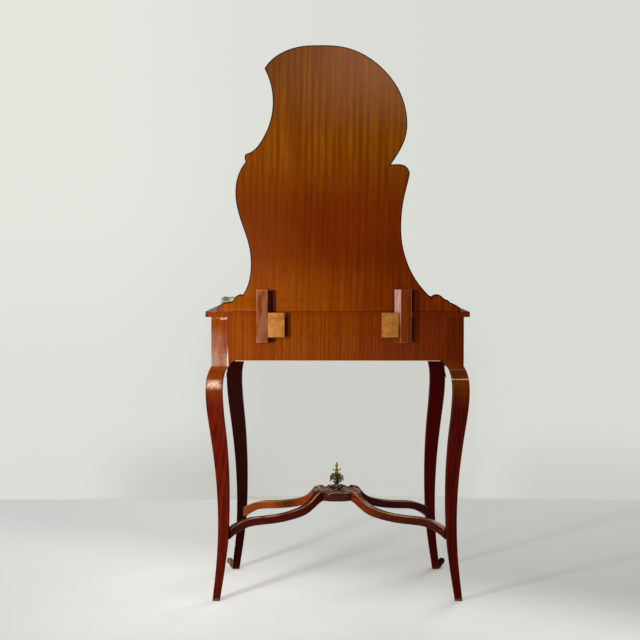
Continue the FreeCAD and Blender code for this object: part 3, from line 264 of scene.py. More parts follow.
def timber(finish, light, dark, grain=UPRIGHT, turn=0.0, ribbon=75.0, figure=1.0):
    """Straight-grained timber: ribbons, fine lines and open pores, all drawn out along the grain.

    Gives its colour and its relief. The turn is in radians about z, the ribbon is the number of ribbons
    in a metre, roughly, and the figure is how far the light tone shows.
    """
    place = finish.place
    if turn:
        place = finish.node("Mapping", {}, {"Vector": place, "Rotation": (0.0, 0.0, turn)})
    sawn = finish.node("Mapping", {}, {"Vector": place, "Scale": grain})
    bands = finish.node("TexWave", {"bands_direction": "DIAGONAL"},
                        {"Vector": sawn, "Scale": ribbon * 0.45, "Distortion": 3.5, "Detail": 2.0,
                         "Detail Scale": 1.3}, "Fac")
    ribbons = (bands * 0.20 + finish.noise(ribbon, 3.0, grain, place)).rising(0.36, 0.84)
    lines = finish.noise(ribbon * 5.5, 3.0, drawn_out(grain, 0.7), place)
    pores = finish.noise(ribbon * 22, 1.0, drawn_out(grain, 1.6), place).rising(0.60, 0.70)
    mottle = finish.noise(ribbon * 1.7, 3.0, drawn_out(grain, 6.0), place).rising(0.44, 0.66)
    clouds = finish.noise(3.1, at=place).rising(0.3, 0.7)
    colour = finish.mixed(ribbons * figure, dark, light)
    colour = finish.mixed(mottle * 0.28, colour, deeper(dark, 0.62))
    colour = finish.mixed(clouds * 0.35, colour, dark)
    colour = finish.mixed(lines.rising(0.42, 0.70) * 0.40, colour, deeper(dark, 0.62))
    colour = finish.mixed(pores * 0.40, colour, deeper(dark, 0.30))
    return colour, lines * 0.4 - pores


def polished(finish, colour, relief, rough=0.42, coat=0.06):
    """Worn french polish over a timber."""
    smears = finish.noise(14.0, 3.0).rising(0.35, 0.75)
    finish.surface({"Base Color": colour, "Roughness": smears * 0.12 + relief * -0.06 + (rough - 0.04),
                    "Specular IOR Level": 0.03, "Coat Weight": coat, "Coat Roughness": 0.14,
                    "Normal": finish.bumped(relief, 0.25 * MM, 0.5)})
    return finish.material


def dress(material, *nodes):
    """Give CAD pieces their finish."""
    for name in nodes:
        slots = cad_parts[name].data.materials
        slots.clear()
        slots.append(material)


BACK_LEG = tone(110, 34, 2), tone(74, 14, 1)
BACK_POST = tone(150, 76, 4), tone(116, 46, 2)
FRONT_LEG = tone(138, 50, 8), tone(98, 24, 4)
LEG_IN_SHADE = (0.80, 0.50, 0.60, 1.0)
POST_IN_SHADE = (0.62, 0.42, 0.62, 1.0)
# Painted light and shade change from the window's side to the other across the middle, this far each way.
MIDDLE = 0.05
POST_FOOT = 0.606
# Heights at which a mark starts, is full, fades and ends.
KNEE_PAINTED_GLOW = (0.49, 0.58, 0.60, 0.63)
KNEE_HIGHLIGHT = (0.546, 0.562, 0.566, 0.578)
KNEE_HIGHLIGHT_LINE = (0.5738, 0.5746, 0.5762, 0.5770)
FAINT_HIGHLIGHT_LINE = (0.598, 0.599, 0.6004, 0.6014)
POST_SHEEN = (POST_FOOT, 0.611, 0.63, 0.725)
ARRIS_HIGHLIGHT = (0.60, 0.615, 0.63, 0.665)
ARRIS_ACROSS = (0.262, 0.272, 0.2815, 0.2835)
CHIPS_AND_GLINTS_FROM = (0.7265, 0.7285)

back_legs = Finish("back_leg_mahogany")
height = back_legs.along("z")
across = back_legs.along("x")
lit_side = across.rising(-MIDDLE, MIDDLE)
colour, relief = timber(back_legs, *BACK_LEG, ribbon=95.0, figure=0.7)
colour = back_legs.mixed(1.0 - lit_side, colour, LEG_IN_SHADE, "MULTIPLY")
post_colour, _ = timber(back_legs, *BACK_POST, ribbon=140.0, figure=0.6)
post_colour = back_legs.mixed(1.0 - lit_side, post_colour, POST_IN_SHADE, "MULTIPLY")
colour = back_legs.mixed(height.rising(POST_FOOT - 16 * MM, POST_FOOT + 6 * MM), colour, post_colour)
# The lowest few millimetres of each foot are painted a pale tan.
pale_foot_tip = height.rising(9 * MM, 2 * MM)
colour = back_legs.mixed(pale_foot_tip * 0.6, colour, tone(134, 104, 66))
# Painted light: a warm glow over the knees.
knee_glow = back_legs.noise(26.0, 3.0).rising(0.34, 0.62) * 0.3 + 0.35
colour = back_legs.mixed(knee_glow * height.between(*KNEE_PAINTED_GLOW), colour, tone(118, 62, 4))
streaks = back_legs.noise(70.0, 4.0, (1.0, 1.0, 0.22)).rising(0.38, 0.64)
fingered = back_legs.noise(240.0, 3.0).rising(0.36, 0.60)
post_face = across.rising(*ARRIS_ACROSS[:2])
# Painted sheen: the window's reflection on the face of the post on its side.
post_sheen = height.between(*POST_SHEEN) * post_face * (streaks * 0.65 + fingered * 0.25 + 0.05)
colour = back_legs.mixed(post_sheen, colour, tone(148, 114, 98))
# Painted highlight along the post's inner arris.
arris_highlight = across.between(*ARRIS_ACROSS) * height.between(*ARRIS_HIGHLIGHT)
colour = back_legs.mixed(arris_highlight * (streaks * 0.4 + 0.5), colour, tone(226, 196, 184))
# Small pale spots under the top: chipped veneer, and painted glints.
chips_and_glints = back_legs.noise(120.0, 4.0).rising(0.54, 0.60) * post_face * height.rising(*CHIPS_AND_GLINTS_FROM)
colour = back_legs.mixed(chips_and_glints * 0.5, colour, tone(216, 184, 164))
# Painted highlight across the knee, on the window's side only.
knee_highlight = height.between(*KNEE_HIGHLIGHT) * (streaks * 0.7 + fingered * 0.5 - 0.2) * lit_side
colour = back_legs.mixed(knee_highlight, colour, tone(214, 170, 148))
# Painted highlight lines across the knee of the leg away from the window.
highlight_lines = (height.between(*KNEE_HIGHLIGHT_LINE) * 0.9 + height.between(*FAINT_HIGHLIGHT_LINE) * 0.12) * (1.0 - lit_side)
colour = back_legs.mixed(highlight_lines * (fingered * 0.5 + 0.5), colour, tone(236, 184, 160))
dress(polished(back_legs, colour, relief, coat=0.03), "leg_back_right", "leg_back_left")

front_legs = Finish("front_leg_mahogany")
colour, relief = timber(front_legs, *FRONT_LEG, ribbon=95.0, figure=0.8)
shaded_back = front_legs.along("y").rising(-0.182, -0.174)
shade = front_legs.mixed(front_legs.along("x").rising(-MIDDLE, MIDDLE), tone(56, 3, 1), tone(22, 1, 0))
colour = front_legs.mixed(shaded_back * 0.92, colour, shade)
dress(polished(front_legs, colour, relief, coat=(1.0 - shaded_back) * 0.06),
      "leg_front_right", "leg_front_left")

# Aprons: boards veneered with ribbon-striped mahogany whose grain stands upright, tenoned into the posts.
# The drawer rails in front are solid mahogany with their grain along them, let in between the posts.
SIDEWAYS = (0.03, 1.0, 1.0)
APRON_VENEER = tone(150, 80, 4), tone(118, 50, 2)
RAIL_TIMBER = tone(172, 66, 14), tone(132, 36, 5)
FAR_END = (0.14, -0.30)
FAR_END_SHADE = (0.78, 0.50, 0.60, 1.0)
PAINTED_SHADOW_TONE = tone(52, 10, 3)
SHADOW_BESIDE_REACH = 9 * MM
SHARP_EDGE = math.radians(40.0)
CREASE = math.radians(35.0)
LEVEL_EDGE_UP_TO = 30 * MM


def opened(node):
    """A copy of a CAD piece's mesh with its seams closed and its flat faces whole."""
    mesh = bmesh.new()
    mesh.from_mesh(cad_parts[node].data)
    bmesh.ops.remove_doubles(mesh, verts=mesh.verts, dist=1e-6)
    bmesh.ops.dissolve_limit(mesh, angle_limit=math.radians(0.5), verts=mesh.verts, edges=mesh.edges)
    return mesh


def worn_edges(mesh, width, segments=2, wanted=None):
    """Round a mesh's sharp edges, and mark the new faces in the attribute worn."""
    worn = mesh.faces.layers.float.new("worn")
    edges = [edge for edge in mesh.edges if len(edge.link_faces) == 2
             and edge.calc_face_angle() > SHARP_EDGE and (wanted is None or wanted(edge))]
    made = bmesh.ops.bevel(mesh, geom=edges, offset=width, offset_type="OFFSET", segments=segments,
                           profile=0.5, affect="EDGES", material=-1, clamp_overlap=False)
    for face in made["faces"]:
        face[worn] = 1.0
    return mesh


def with_painted_shadows(finish, colour, *nodes):
    """A colour with a painted shadow on one side of each piece named, as cast on the board beside it."""
    for node in nodes:
        low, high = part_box(node)
        beside = finish.along("x").between(low.x - SHADOW_BESIDE_REACH, low.x - SHADOW_BESIDE_REACH * 0.7, low.x, low.x + MM)
        level = finish.along("z").between(low.z, low.z + MM, high.z - 3 * MM, high.z - MM)
        colour = finish.mixed(beside * level * 0.8, colour, PAINTED_SHADOW_TONE)
    return colour


def piece(name, mesh, material, body, slot, *stands_for):
    """A finished piece from a bmesh: smooth but for its creases, on its body, in place of CAD pieces."""
    for face in mesh.faces:
        face.smooth = True
    for edge in mesh.edges:
        edge.smooth = len(edge.link_faces) == 2 and edge.calc_face_angle() < CREASE
    data = bpy.data.meshes.new(name)
    mesh.to_mesh(data)
    mesh.free()
    data.materials.append(material)
    made = bpy.data.objects.new(name, data)
    bpy.context.scene.collection.objects.link(made)
    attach(made, body)
    if stands_for:
        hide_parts(*stands_for)
    return made


apron_low, apron_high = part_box("back_apron")


def is_lower_edge(edge):
    """Whether an edge is on the level part of the back apron's lower outer edge, which is rounded and
    carries a painted highlight.
    """
    heights = [vert.co.z for vert in edge.verts]
    return (all(vert.co.y > apron_high.y - MM for vert in edge.verts)
            and max(heights) < apron_low.z + LEVEL_EDGE_UP_TO and max(heights) - min(heights) < 0.1 * MM)


apron_finish = Finish("apron_veneer")
colour, relief = timber(apron_finish, *APRON_VENEER, ribbon=140.0, figure=0.55)
colour = apron_finish.mixed(apron_finish.along("x").rising(*FAR_END), colour, FAR_END_SHADE, "MULTIPLY")
# Painted highlight along the rounded lower edge.
colour = apron_finish.mixed(apron_finish.marked("worn") * 0.9, colour, tone(250, 214, 186))
# Painted shadows beside the battens and keeper blocks.
colour = with_painted_shadows(apron_finish, colour, "batten_right", "batten_left",
                "keeper_block_right", "keeper_block_left")
apron_veneer = polished(apron_finish, colour, relief)
apron_board = worn_edges(opened("back_apron"), 1.5 * MM, wanted=is_lower_edge)
piece("veneered_apron", apron_board, apron_veneer, "table", "mahogany", "back_apron")
dress(apron_veneer, "side_apron_right", "side_apron_left")
rail_finish = Finish("rail_mahogany")
dress(polished(rail_finish, *timber(rail_finish, *RAIL_TIMBER, SIDEWAYS)),
      "front_top_rail", "front_bottom_rail")

# Inside: runners, guides, kickers and stops that carry the drawer, and glue blocks under the top. Plain
# planed oak, never polished, glued in place where nobody looks.
FRONT_TO_BACK = (1.0, 0.03, 1.0)
PLANED_OAK = tone(206, 168, 120), tone(176, 134, 88)

oak_finish = Finish("planed_oak")
oak = polished(oak_finish, *timber(oak_finish, *PLANED_OAK, FRONT_TO_BACK, ribbon=60.0, figure=0.8),
               rough=0.65, coat=0.0)
dress(oak, "drawer_runner_right", "drawer_runner_left", "drawer_guide_right", "drawer_guide_left",
      "drawer_kickers", "drawer_stops", "glue_blocks")

# Top: a board veneered like the aprons, with its grain from side to side and a crossbanded border, and a
# moulded bronze band let round its front and sides, gone dark with handling.
TOP_VENEER = tone(184, 86, 16), tone(140, 50, 6)
TOP_BORDER = tone(136, 50, 8), tone(98, 26, 4)
SIDE_BORDER = 46 * MM
FRONT_BORDER = 40 * MM
BORDER_JOINT = 0.6 * MM
SHEEN_END = (0.24, 0.33)

top_low, top_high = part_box("table_top")
top_finish = Finish("top_veneer")
across = top_finish.along("x")
deep = top_finish.along("y")
height = top_finish.along("z")
colour, relief = timber(top_finish, *TOP_VENEER, SIDEWAYS)
border_colour, _ = timber(top_finish, *TOP_BORDER, FRONT_TO_BACK)
side_inlay = top_high.x - SIDE_BORDER
front_inlay = top_low.y + FRONT_BORDER
at_side = abs(across).rising(side_inlay, side_inlay + BORDER_JOINT)
at_front = deep.rising(front_inlay + BORDER_JOINT, front_inlay)
colour = top_finish.mixed(at_side.larger(at_front), colour, border_colour)
lipping, _ = timber(top_finish, *APRON_VENEER, ribbon=140.0, figure=0.4)
lipping = top_finish.mixed(across.rising(*FAR_END), lipping, FAR_END_SHADE, "MULTIPLY")
back_face = deep.rising(top_high.y - 0.9 * MM, top_high.y - 0.5 * MM)
colour = top_finish.mixed(back_face, colour, lipping)
shadow_line = height.rising(top_high.z - 1.5 * MM, top_high.z - MM) * back_face
colour = top_finish.mixed(shadow_line * 0.85, colour, tone(34, 10, 3))
# Painted sheen: the window's reflection on the top at its window end.
reflected_sheen = across.rising(*SHEEN_END) * height.rising(top_high.z - MM, top_high.z)
colour = top_finish.mixed(reflected_sheen * 0.45, colour, tone(176, 160, 148))
top_coat = 0.35 - across.rising(-0.24, -0.32) * 0.30
dress(polished(top_finish, colour, relief, 0.3, top_coat), "table_top")


def bronze(name, bright, worn, rough=0.36, scale=70.0, raised=None):
    """Cast bronze whose gilding is worn thin: bright on what stands up, brown and greenish in hollows."""
    finish = Finish(name)
    patches = finish.noise(scale, 4.0).rising(0.34, 0.68)
    if raised:
        patches = patches * 0.55 + finish.marked(raised) * 0.45
    grain = finish.noise(420.0, 2.0)
    finish.surface({"Base Color": finish.mixed(patches, worn, bright), "Metallic": 1.0,
                    "Roughness": grain * 0.18 + patches * -0.08 + rough,
                    "Normal": finish.bumped(grain, 0.2 * MM, 0.35)})
    return finish.material


dark_bronze = bronze("dark_bronze", tone(98, 68, 40), tone(60, 36, 22), 0.40, 40.0)
top_band = worn_edges(opened("top_edge_moulding"), 1.5 * MM, 3)
piece("bronze_top_edge", top_band, dark_bronze, "table", "gilt_bronze", "top_edge_moulding")

# Stretcher: four serpentine arms sawn from solid mahogany, coped over the rim of a turned block in the
# middle and against the legs. Their eased upper edges carry a painted highlight of dull olive gold, and
# each arm is painted lighter or darker for how the window falls on it.
PLATEAU_TIMBER = tone(88, 34, 10), tone(46, 10, 3)
ARM_IN_SHADE = (0.40, 0.24, 0.30, 1.0)
SHADE_REACH = (0.05, 0.13)
# An arm's eased upper edge faces up and sideways: the least and the most of its normal's parts.
LEAST_FACING = 0.2
MOST_FACING = 0.93
# Each arm's turn in degrees, its timber's light and dark tones, which are painted lighter or darker for how
# the window falls on the arm, the painted shade at its end, and how strongly its painted edge highlight
# shows.
ARMS = (("stretcher_arm_back_right", 28, tone(96, 28, 7), tone(66, 12, 4), 0.15, 0.8),
        ("stretcher_arm_back_left", -28, tone(142, 68, 14), tone(100, 38, 7), 0.95, 0.9),
        ("stretcher_arm_front_right", -28, tone(164, 90, 26), tone(122, 54, 12), 0.0, 1.0),
        ("stretcher_arm_front_left", 28, tone(88, 24, 8), tone(58, 10, 4), 0.2, 0.7))

for node, turn, light, dark, shading, edge_highlight in ARMS:
    arm_finish = Finish(node + "_mahogany")
    colour, relief = timber(arm_finish, light, dark, SIDEWAYS, math.radians(-turn), figure=0.5)
    shaded = abs(arm_finish.along("x")).rising(*SHADE_REACH) * shading
    colour = arm_finish.mixed(shaded, colour, ARM_IN_SHADE, "MULTIPLY")
    # Painted highlight of dull olive gold on the upward-facing eased edges.
    highlit_edges = arm_finish.noise(24.0, 3.0).rising(0.32, 0.60) * 0.70 + 0.18
    colour = arm_finish.mixed(arm_finish.marked("worn") * highlit_edges * edge_highlight, colour, tone(178, 152, 104))
    arm = opened(node)
    worn = arm.faces.layers.float.new("worn")
    sideways = Vector((-math.sin(math.radians(turn)), math.cos(math.radians(turn)), 0.0))
    for face in arm.faces:
        face.normal_update()
        outward = abs(face.normal @ sideways)
        face[worn] = 1.0 if face.normal.z > LEAST_FACING and LEAST_FACING < outward < MOST_FACING else 0.0
    arm_timber = polished(arm_finish, colour, relief, 0.40, 0.12)
    piece("rubbed_" + node, arm, arm_timber, "table", "mahogany", node)

plateau_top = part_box("stretcher_plateau")[1].z
plateau_finish = Finish("plateau_mahogany")
colour, relief = timber(plateau_finish, *PLATEAU_TIMBER, SIDEWAYS, ribbon=140.0)
on_top = plateau_finish.along("z").rising(plateau_top - 0.8 * MM, plateau_top - 0.3 * MM)
# Pale pinkish grey on the top face: dust, with a painted sheen where it faces up.
dust_and_sheen = plateau_finish.noise(50.0, 3.0).rising(0.36, 0.62) * 0.6 + 0.1
colour = plateau_finish.mixed(on_top * dust_and_sheen, colour, tone(176, 140, 132))
dress(polished(plateau_finish, colour, relief, 0.3, 0.3), "stretcher_plateau")

# Finial: a cast bronze plant on a rosette of leaves, screwed down by a rod that goes through the block to a
# steel nut underneath. Its leaves curl back, and its gilding is left only where they stand out.


def leaf(mesh, length, width, rise, curl, place, fold=0.25, lobes=3):
    """A cast leaf on a bmesh, in metres: it grows along z from its place and bends back towards -y.

    The rise is its slope at the root and the curl what its tip adds, in radians; the fold is how steeply
    its sides fall away from the midrib.
    """
    raised = mesh.verts.layers.float.get("raised") or mesh.verts.layers.float.new("raised")
    grid = bmesh.ops.create_grid(mesh, x_segments=6, y_segments=14, size=0.5)
    for vert in grid["verts"]:
        across, along = vert.co.x * 2, vert.co.y + 0.5
        lobing = 1 - 0.22 * abs(math.sin(lobes * math.pi * along)) * abs(across)
        half = width / 2 * math.sin(math.pi * min(1.0, 0.12 + 0.88 * along) ** 0.75) * lobing
        slope = rise + curl * along
        out = length * (math.cos(rise) - math.cos(slope)) / curl
        up = length * (math.sin(slope) - math.sin(rise)) / curl
        sink = abs(across) * half * fold - 0.05 * width * math.cos(across * math.pi * 2)
        vert[raised] = max(0.0, 0.35 + 0.65 * along - 0.5 * abs(math.sin(across * math.pi * 1.5)))
        vert.co = place @ Vector((across * half, -out + sink * math.cos(slope),
                                  up + sink * math.sin(slope)))


def turned(mesh, profile, steps):
    """A lathe-turned form on a bmesh, from radii and heights in millimetres along its profile."""
    raised = mesh.verts.layers.float.get("raised") or mesh.verts.layers.float.new("raised")
    points = [mesh.verts.new((radius * MM, 0.0, height * MM)) for radius, height in profile]
    for point in points:
        point[raised] = 0.1
    edges = [mesh.edges.new(pair) for pair in zip(points, points[1:])]
    bmesh.ops.spin(mesh, geom=points + edges, cent=(0.0, 0.0, 0.0), axis=(0.0, 0.0, 1.0), steps=steps,
                   angle=2 * math.pi, use_merge=True)
    bmesh.ops.remove_doubles(mesh, verts=mesh.verts, dist=1e-6)


def ringed(mesh, turn, radius, height, length, width, rise, curl, **shape):
    """A leaf on a round stem, in millimetres: its root is turned about z, out from it, at a height."""
    root = Matrix.Rotation(math.radians(turn), 4, "Z") @ Matrix.Translation((0, -radius * MM, height * MM))
    leaf(mesh, length * MM, width * MM, rise, curl, root, **shape)


def cast(made, thickness):
    """Give a piece of leaves its thickness and round them."""
    wall_of_leaf = made.modifiers.new("thickness", "SOLIDIFY")
    wall_of_leaf.thickness = thickness
    wall_of_leaf.offset = 0.0
    rounding = made.modifiers.new("rounding", "SUBSURF")
    rounding.levels = rounding.render_levels = 1


cast_gilt = bronze("cast_gilt_bronze", tone(196, 170, 116), tone(44, 38, 24), 0.40, 160.0, "raised")
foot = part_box("finial_rosette")[0].z / MM
rod_foot, tip = (corner.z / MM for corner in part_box("finial"))
CORE = [(0.0, rod_foot), (3.0, rod_foot), (3.0, foot), (7.5, foot + 5), (5.0, foot + 9), (3.6, foot + 14),
        (3.6, foot + 20), (7.5, foot + 25), (11.0, foot + 29), (12.0, foot + 34), (10.0, foot + 40),
        (5.0, foot + 45), (3.0, foot + 49), (2.6, foot + 55), (3.0, tip - 18), (2.8, tip - 15),
        (3.8, tip - 11), (3.2, tip - 7), (1.6, tip - 3), (0.0, tip)]
ROSETTE_DISC = [(3.0, foot + 6.6), (6.0, foot + 6.2), (9.5, foot + 3.4), (11.0, foot + 0.2)]
core = bmesh.new()
turned(core, CORE, steps=20)
piece("finial_core", core, cast_gilt, "table", "gilt_bronze", "finial")
plant = bmesh.new()
for number in range(4):
    ringed(plant, 90 * number + 20, 3.4, foot + 4, 17, 9, 0.35, 1.2, fold=0.2)
for number in range(3):
    ringed(plant, 120 * number + 50, 3.2, foot + 14, 15, 9, 0.3, 1.5)
for number in range(7):
    odd = number % 2
    ringed(plant, 360 / 7 * number + 10, 5.0, foot + 27 + 3 * odd, 18, 16, 0.75, 2.2 + 0.3 * odd, fold=0.4)
for number in range(6):
    ringed(plant, 60 * number + 40, 6.0, foot + 35, 16, 14, 0.50, 2.5, fold=0.4)
for number in range(5):
    ringed(plant, 72 * number + 15, 4.0, foot + 38, 13, 10, 0.10, 2.2, fold=0.3)
for number in range(4):
    ringed(plant, 90 * number + 8, 1.0, tip - 25, 12.5, 5.5, 1.45, -0.9, fold=0.2, lobes=1)
cast(piece("finial_leaves", plant, cast_gilt, "table", "gilt_bronze"), 2.2 * MM)

rosette = bmesh.new()
turned(rosette, ROSETTE_DISC, steps=24)
for number in range(8):
    ringed(rosette, 45 * number, 7.0, foot + 1.5, 27, 19, 1.05, 0.60, fold=0.45)
    ringed(rosette, 45 * number + 22.5, 6.0, foot + 2.5, 22, 15, 0.75, 0.85, fold=0.4)
cast(piece("leafy_rosette", rosette, cast_gilt, "table", "gilt_bronze", "finial_rosette"), 2.0 * MM)
steel = bronze("bare_steel", tone(160, 158, 152), tone(92, 88, 82))
dress(steel, "finial_nut", "keeper_screws", "batten_screws", "lock_bolt")

# Leg mounts: acanthus leaves pinned over the outer corners of the front knees, and sabots whose leafy
# sheaths end in a scrolled toe. Cast in bronze and gilt, dulled by handling.
# Each knee leaf's length, width, lean in degrees, drop from the mount's top, and depth in from its corner.
KNEE_LEAVES = ((94, 26, 0, 6, 18.5),
               (58, 20, 26, 10, 18),
               (58, 20, -26, 10, 18),
               (34, 17, 52, 8, 18),
               (34, 17, -52, 8, 18))

worn_gilt = bronze("worn_gilt_bronze", tone(214, 186, 118), tone(104, 86, 48))
lit_sabot_gilt = bronze("dusty_gilt_bronze", tone(190, 166, 136), tone(108, 88, 66), 0.50)
shaded_sabot_bronze = bronze("shaded_sabot_bronze", tone(54, 30, 22), tone(26, 12, 8), 0.45)
# The right sabot is painted as gilt in the window's light and the left as dark bronze in shade.
for side, sign, sabot_bronze in (("right", 1, lit_sabot_gilt), ("left", -1, shaded_sabot_bronze)):
    knee_low, knee_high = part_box(f"knee_mount_{side}")
    corner_x = knee_high.x if sign > 0 else knee_low.x
    outward = Matrix.Rotation(math.radians(45 * sign), 4, "Z")
    knee = bmesh.new()
    for length, width, lean, drop, depth in KNEE_LEAVES:
        root = Vector((corner_x - sign * depth * MM, knee_low.y + depth * MM, knee_high.z - drop * MM))
        hanging = Matrix.Rotation(math.radians(180 + lean), 4, "Y")
        leaf(knee, length * MM, width * MM, 0.22, -0.30, Matrix.Translation(root) @ outward @ hanging,
             fold=0.85)
    cast(piece(f"knee_acanthus_{side}", knee, cast_gilt, "table", "gilt_bronze"), 1.4 * MM)
    dress(worn_gilt, f"knee_mount_{side}")
    sabot = worn_edges(opened(f"sabot_{side}"), 0.8 * MM)
    piece(f"cast_sabot_{side}", sabot, sabot_bronze, "table", "gilt_bronze", f"sabot_{side}")

# Mirror back: a board veneered with ribbon-striped mahogany, its edge eased and darkened nearly black. The
# ribbons are strongest at the top, under a painted sheen, and fade out below the middle. The board is
# painted lighter towards the window, low down and above the middle.
LOWER_VENEER = tone(146, 68, 3), tone(110, 40, 1)
UPPER_VENEER = tone(194, 112, 20), tone(144, 70, 8)
UPPER_FROM = (1.00, 1.20)
WARM_HEIGHTS = (0.88, 0.98, 1.04, 1.16)
SCRATCH_HEIGHTS = (1.3311, 1.3315, 1.3320, 1.3324)
SCRATCH_ACROSS = (-0.125, -0.118, -0.103, -0.096)

panel_low, panel_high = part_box("mirror_back_panel")
back_finish = Finish("mirror_back_veneer")
height = back_finish.along("z")
across = back_finish.along("x")
figure = height.rising(0.92, 1.10) * 0.45 + height.rising(0.90, 0.80) * 0.35 + 0.30
colour, relief = timber(back_finish, *LOWER_VENEER, ribbon=90.0, figure=figure)
# Painted light on the lower part of the window's side.
lit_lower_corner = height.rising(0.94, 0.78) * across.rising(-0.20, 0.16)
colour = back_finish.mixed(lit_lower_corner * 0.25, colour, tone(160, 94, 8))
# Painted light on the window's side above the middle.
window_lit_side = across.rising(0.02, 0.24) * height.rising(0.80, 0.95)
colour = back_finish.mixed(window_lit_side * 0.35, colour, tone(130, 66, 4))
warm_middle = height.between(*WARM_HEIGHTS) * across.rising(0.08, -0.02)
colour = back_finish.mixed(warm_middle * 0.16, colour, tone(160, 66, 4))
upper, _ = timber(back_finish, *UPPER_VENEER, ribbon=80.0, figure=0.8)
colour = back_finish.mixed(height.rising(*UPPER_FROM), colour, upper)
# Painted sheen: a reflection over the top of the board.
reflected_sheen = height.rising(1.17, 1.40) * (across.rising(0.22, -0.16) * 0.8 + 0.2)
colour = back_finish.mixed(reflected_sheen * 0.42, colour, tone(232, 160, 116))
scratch = height.between(*SCRATCH_HEIGHTS) * across.between(*SCRATCH_ACROSS)
colour = back_finish.mixed(scratch * 0.8, colour, tone(196, 160, 120))
# The eased edge is painted nearly black.
darkened_edge = back_finish.marked("worn")
colour = back_finish.mixed(darkened_edge * 0.97, colour, tone(20, 7, 3))
# Painted shadows beside the battens.
colour = with_painted_shadows(back_finish, colour, "batten_right", "batten_left")


def is_outer_edge(edge):
    """Whether an edge is on the board's back, and not along its foot, which stands on the table."""
    return (all(vert.co.y > panel_high.y - MM for vert in edge.verts)
            and any(vert.co.z > panel_low.z + MM for vert in edge.verts))


back_veneer = polished(back_finish, colour, relief, coat=(1.0 - darkened_edge) * 0.03)
board = worn_edges(opened("mirror_back_panel"), 2.6 * MM, 3, is_outer_edge)
piece("veneered_back", board, back_veneer, "mirror", "mahogany", "mirror_back_panel")

# Mirror front: a moulded mahogany frame planted on the board, a bevelled silvered glass in its rebate, and
# cast leaves pinned on the crest, one shoulder and both feet.
FRAME_TIMBER = tone(160, 64, 12), tone(112, 32, 5)
SILVERING = (0.86, 0.88, 0.88, 1.0)
# Each leaf's root along x and z, turn in degrees, length, width, and its rise and curl in radians.
SPRAYS = {
    "crest": ((38, 1372, -52, 24.8, 13, 0.30, -0.5),
              (38, 1372, -28, 27.2, 13, 0.30, -0.5),
              (38, 1372, -4, 29.6, 13, 0.30, -0.5),
              (38, 1372, 22, 27.8, 13, 0.30, -0.5),
              (38, 1372, 46, 25.4, 13, 0.30, -0.5),
              (40, 1372, 170, 20, 15, 0.30, -0.2),
              (30, 1370, 214, 16, 9, 0.25, -0.2),
              (48, 1372, 126, 16, 9, 0.25, -0.2),
              (26, 1369, -98, 60, 13, 0.16, -0.3),
              (30, 1374, -76, 42, 12, 0.20, -0.3),
              (22, 1364, -118, 30, 9, 0.20, -0.3),
              (52, 1373, 82, 58, 13, 0.16, -0.3),
              (48, 1378, 62, 40, 12, 0.20, -0.3),
              (56, 1367, 100, 30, 9, 0.20, -0.3)),
    "shoulder": ((226, 1134, -47, 50, 13, 0.16, -0.3),
                 (224, 1138, -40, 32, 9, 0.20, -0.3),
                 (220, 1132, -70, 30, 9, 0.20, -0.3),
                 (226, 1136, 128, 16, 12, 0.30, 0.5),
                 (226, 1136, 160, 13, 9, 0.30, 0.5)),
    "foot_right": ((280, 764, -70, 62, 17, 0.16, -0.3),
                   (272, 767, -62, 38, 10, 0.20, -0.3),
                   (276, 760, -84, 44, 11, 0.20, -0.3),
                   (274, 764, 66, 24, 15, 0.30, 0.7),
                   (278, 761, 100, 17, 11, 0.30, 0.7)),
    "foot_left": ((-276, 764, 70, 58, 17, 0.16, -0.3),
                  (-264, 766, 64, 34, 10, 0.20, -0.3),
                  (-270, 760, 84, 42, 11, 0.20, -0.3),
                  (-270, 764, -76, 22, 15, 0.30, 0.7),
                  (-272, 762, -106, 17, 11, 0.30, 0.7))}

frame_finish = Finish("frame_mahogany")
frame_timber = polished(frame_finish, *timber(frame_finish, *FRAME_TIMBER), rough=0.3, coat=0.5)
frame_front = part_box("mirror_frame")[0].y
moulded = worn_edges(opened("mirror_frame"), 2 * MM, 3,
                     lambda edge: all(vert.co.y < frame_front + MM for vert in edge.verts))
piece("moulded_frame", moulded, frame_timber, "mirror", "mahogany", "mirror_frame")
silver = Finish("silvered_glass")
silver.surface({"Base Color": SILVERING, "Metallic": 1.0,
                "Roughness": silver.noise(9.0, 3.0).rising(0.45, 0.8) * 0.04 + 0.015})
dress(silver.material, "mirror_glass")
# Painted reflection: the right foot's plate is pale greenish gilt, as it catches the wall's light.
painted_reflection_gilt = bronze("pale_gilt_bronze", tone(152, 152, 126), tone(86, 90, 72), 0.45)
for mount, node, plate_bronze in (("crest", "crest_mount", worn_gilt),
                                  ("shoulder", "shoulder_mount", worn_gilt),
                                  ("foot_right", "foot_mount_right", painted_reflection_gilt),
                                  ("foot_left", "foot_mount_left", worn_gilt)):
    spray = bmesh.new()
    for x, z, turn, length, width, rise, curl in SPRAYS[mount]:
        root = Matrix.Translation((x * MM, frame_front - 4.5 * MM, z * MM))
        leaf(spray, length * MM, width * MM, rise, curl,
             root @ Matrix.Rotation(math.radians(turn), 4, "Y"), fold=0.3)
    cast(piece(mount + "_leaves", spray, cast_gilt, "mirror", "gilt_bronze"), 1.3 * MM)
    plate = worn_edges(opened(node), 1.0 * MM)
    piece(mount + "_plate", plate, plate_bronze, "mirror", "gilt_bronze", node)

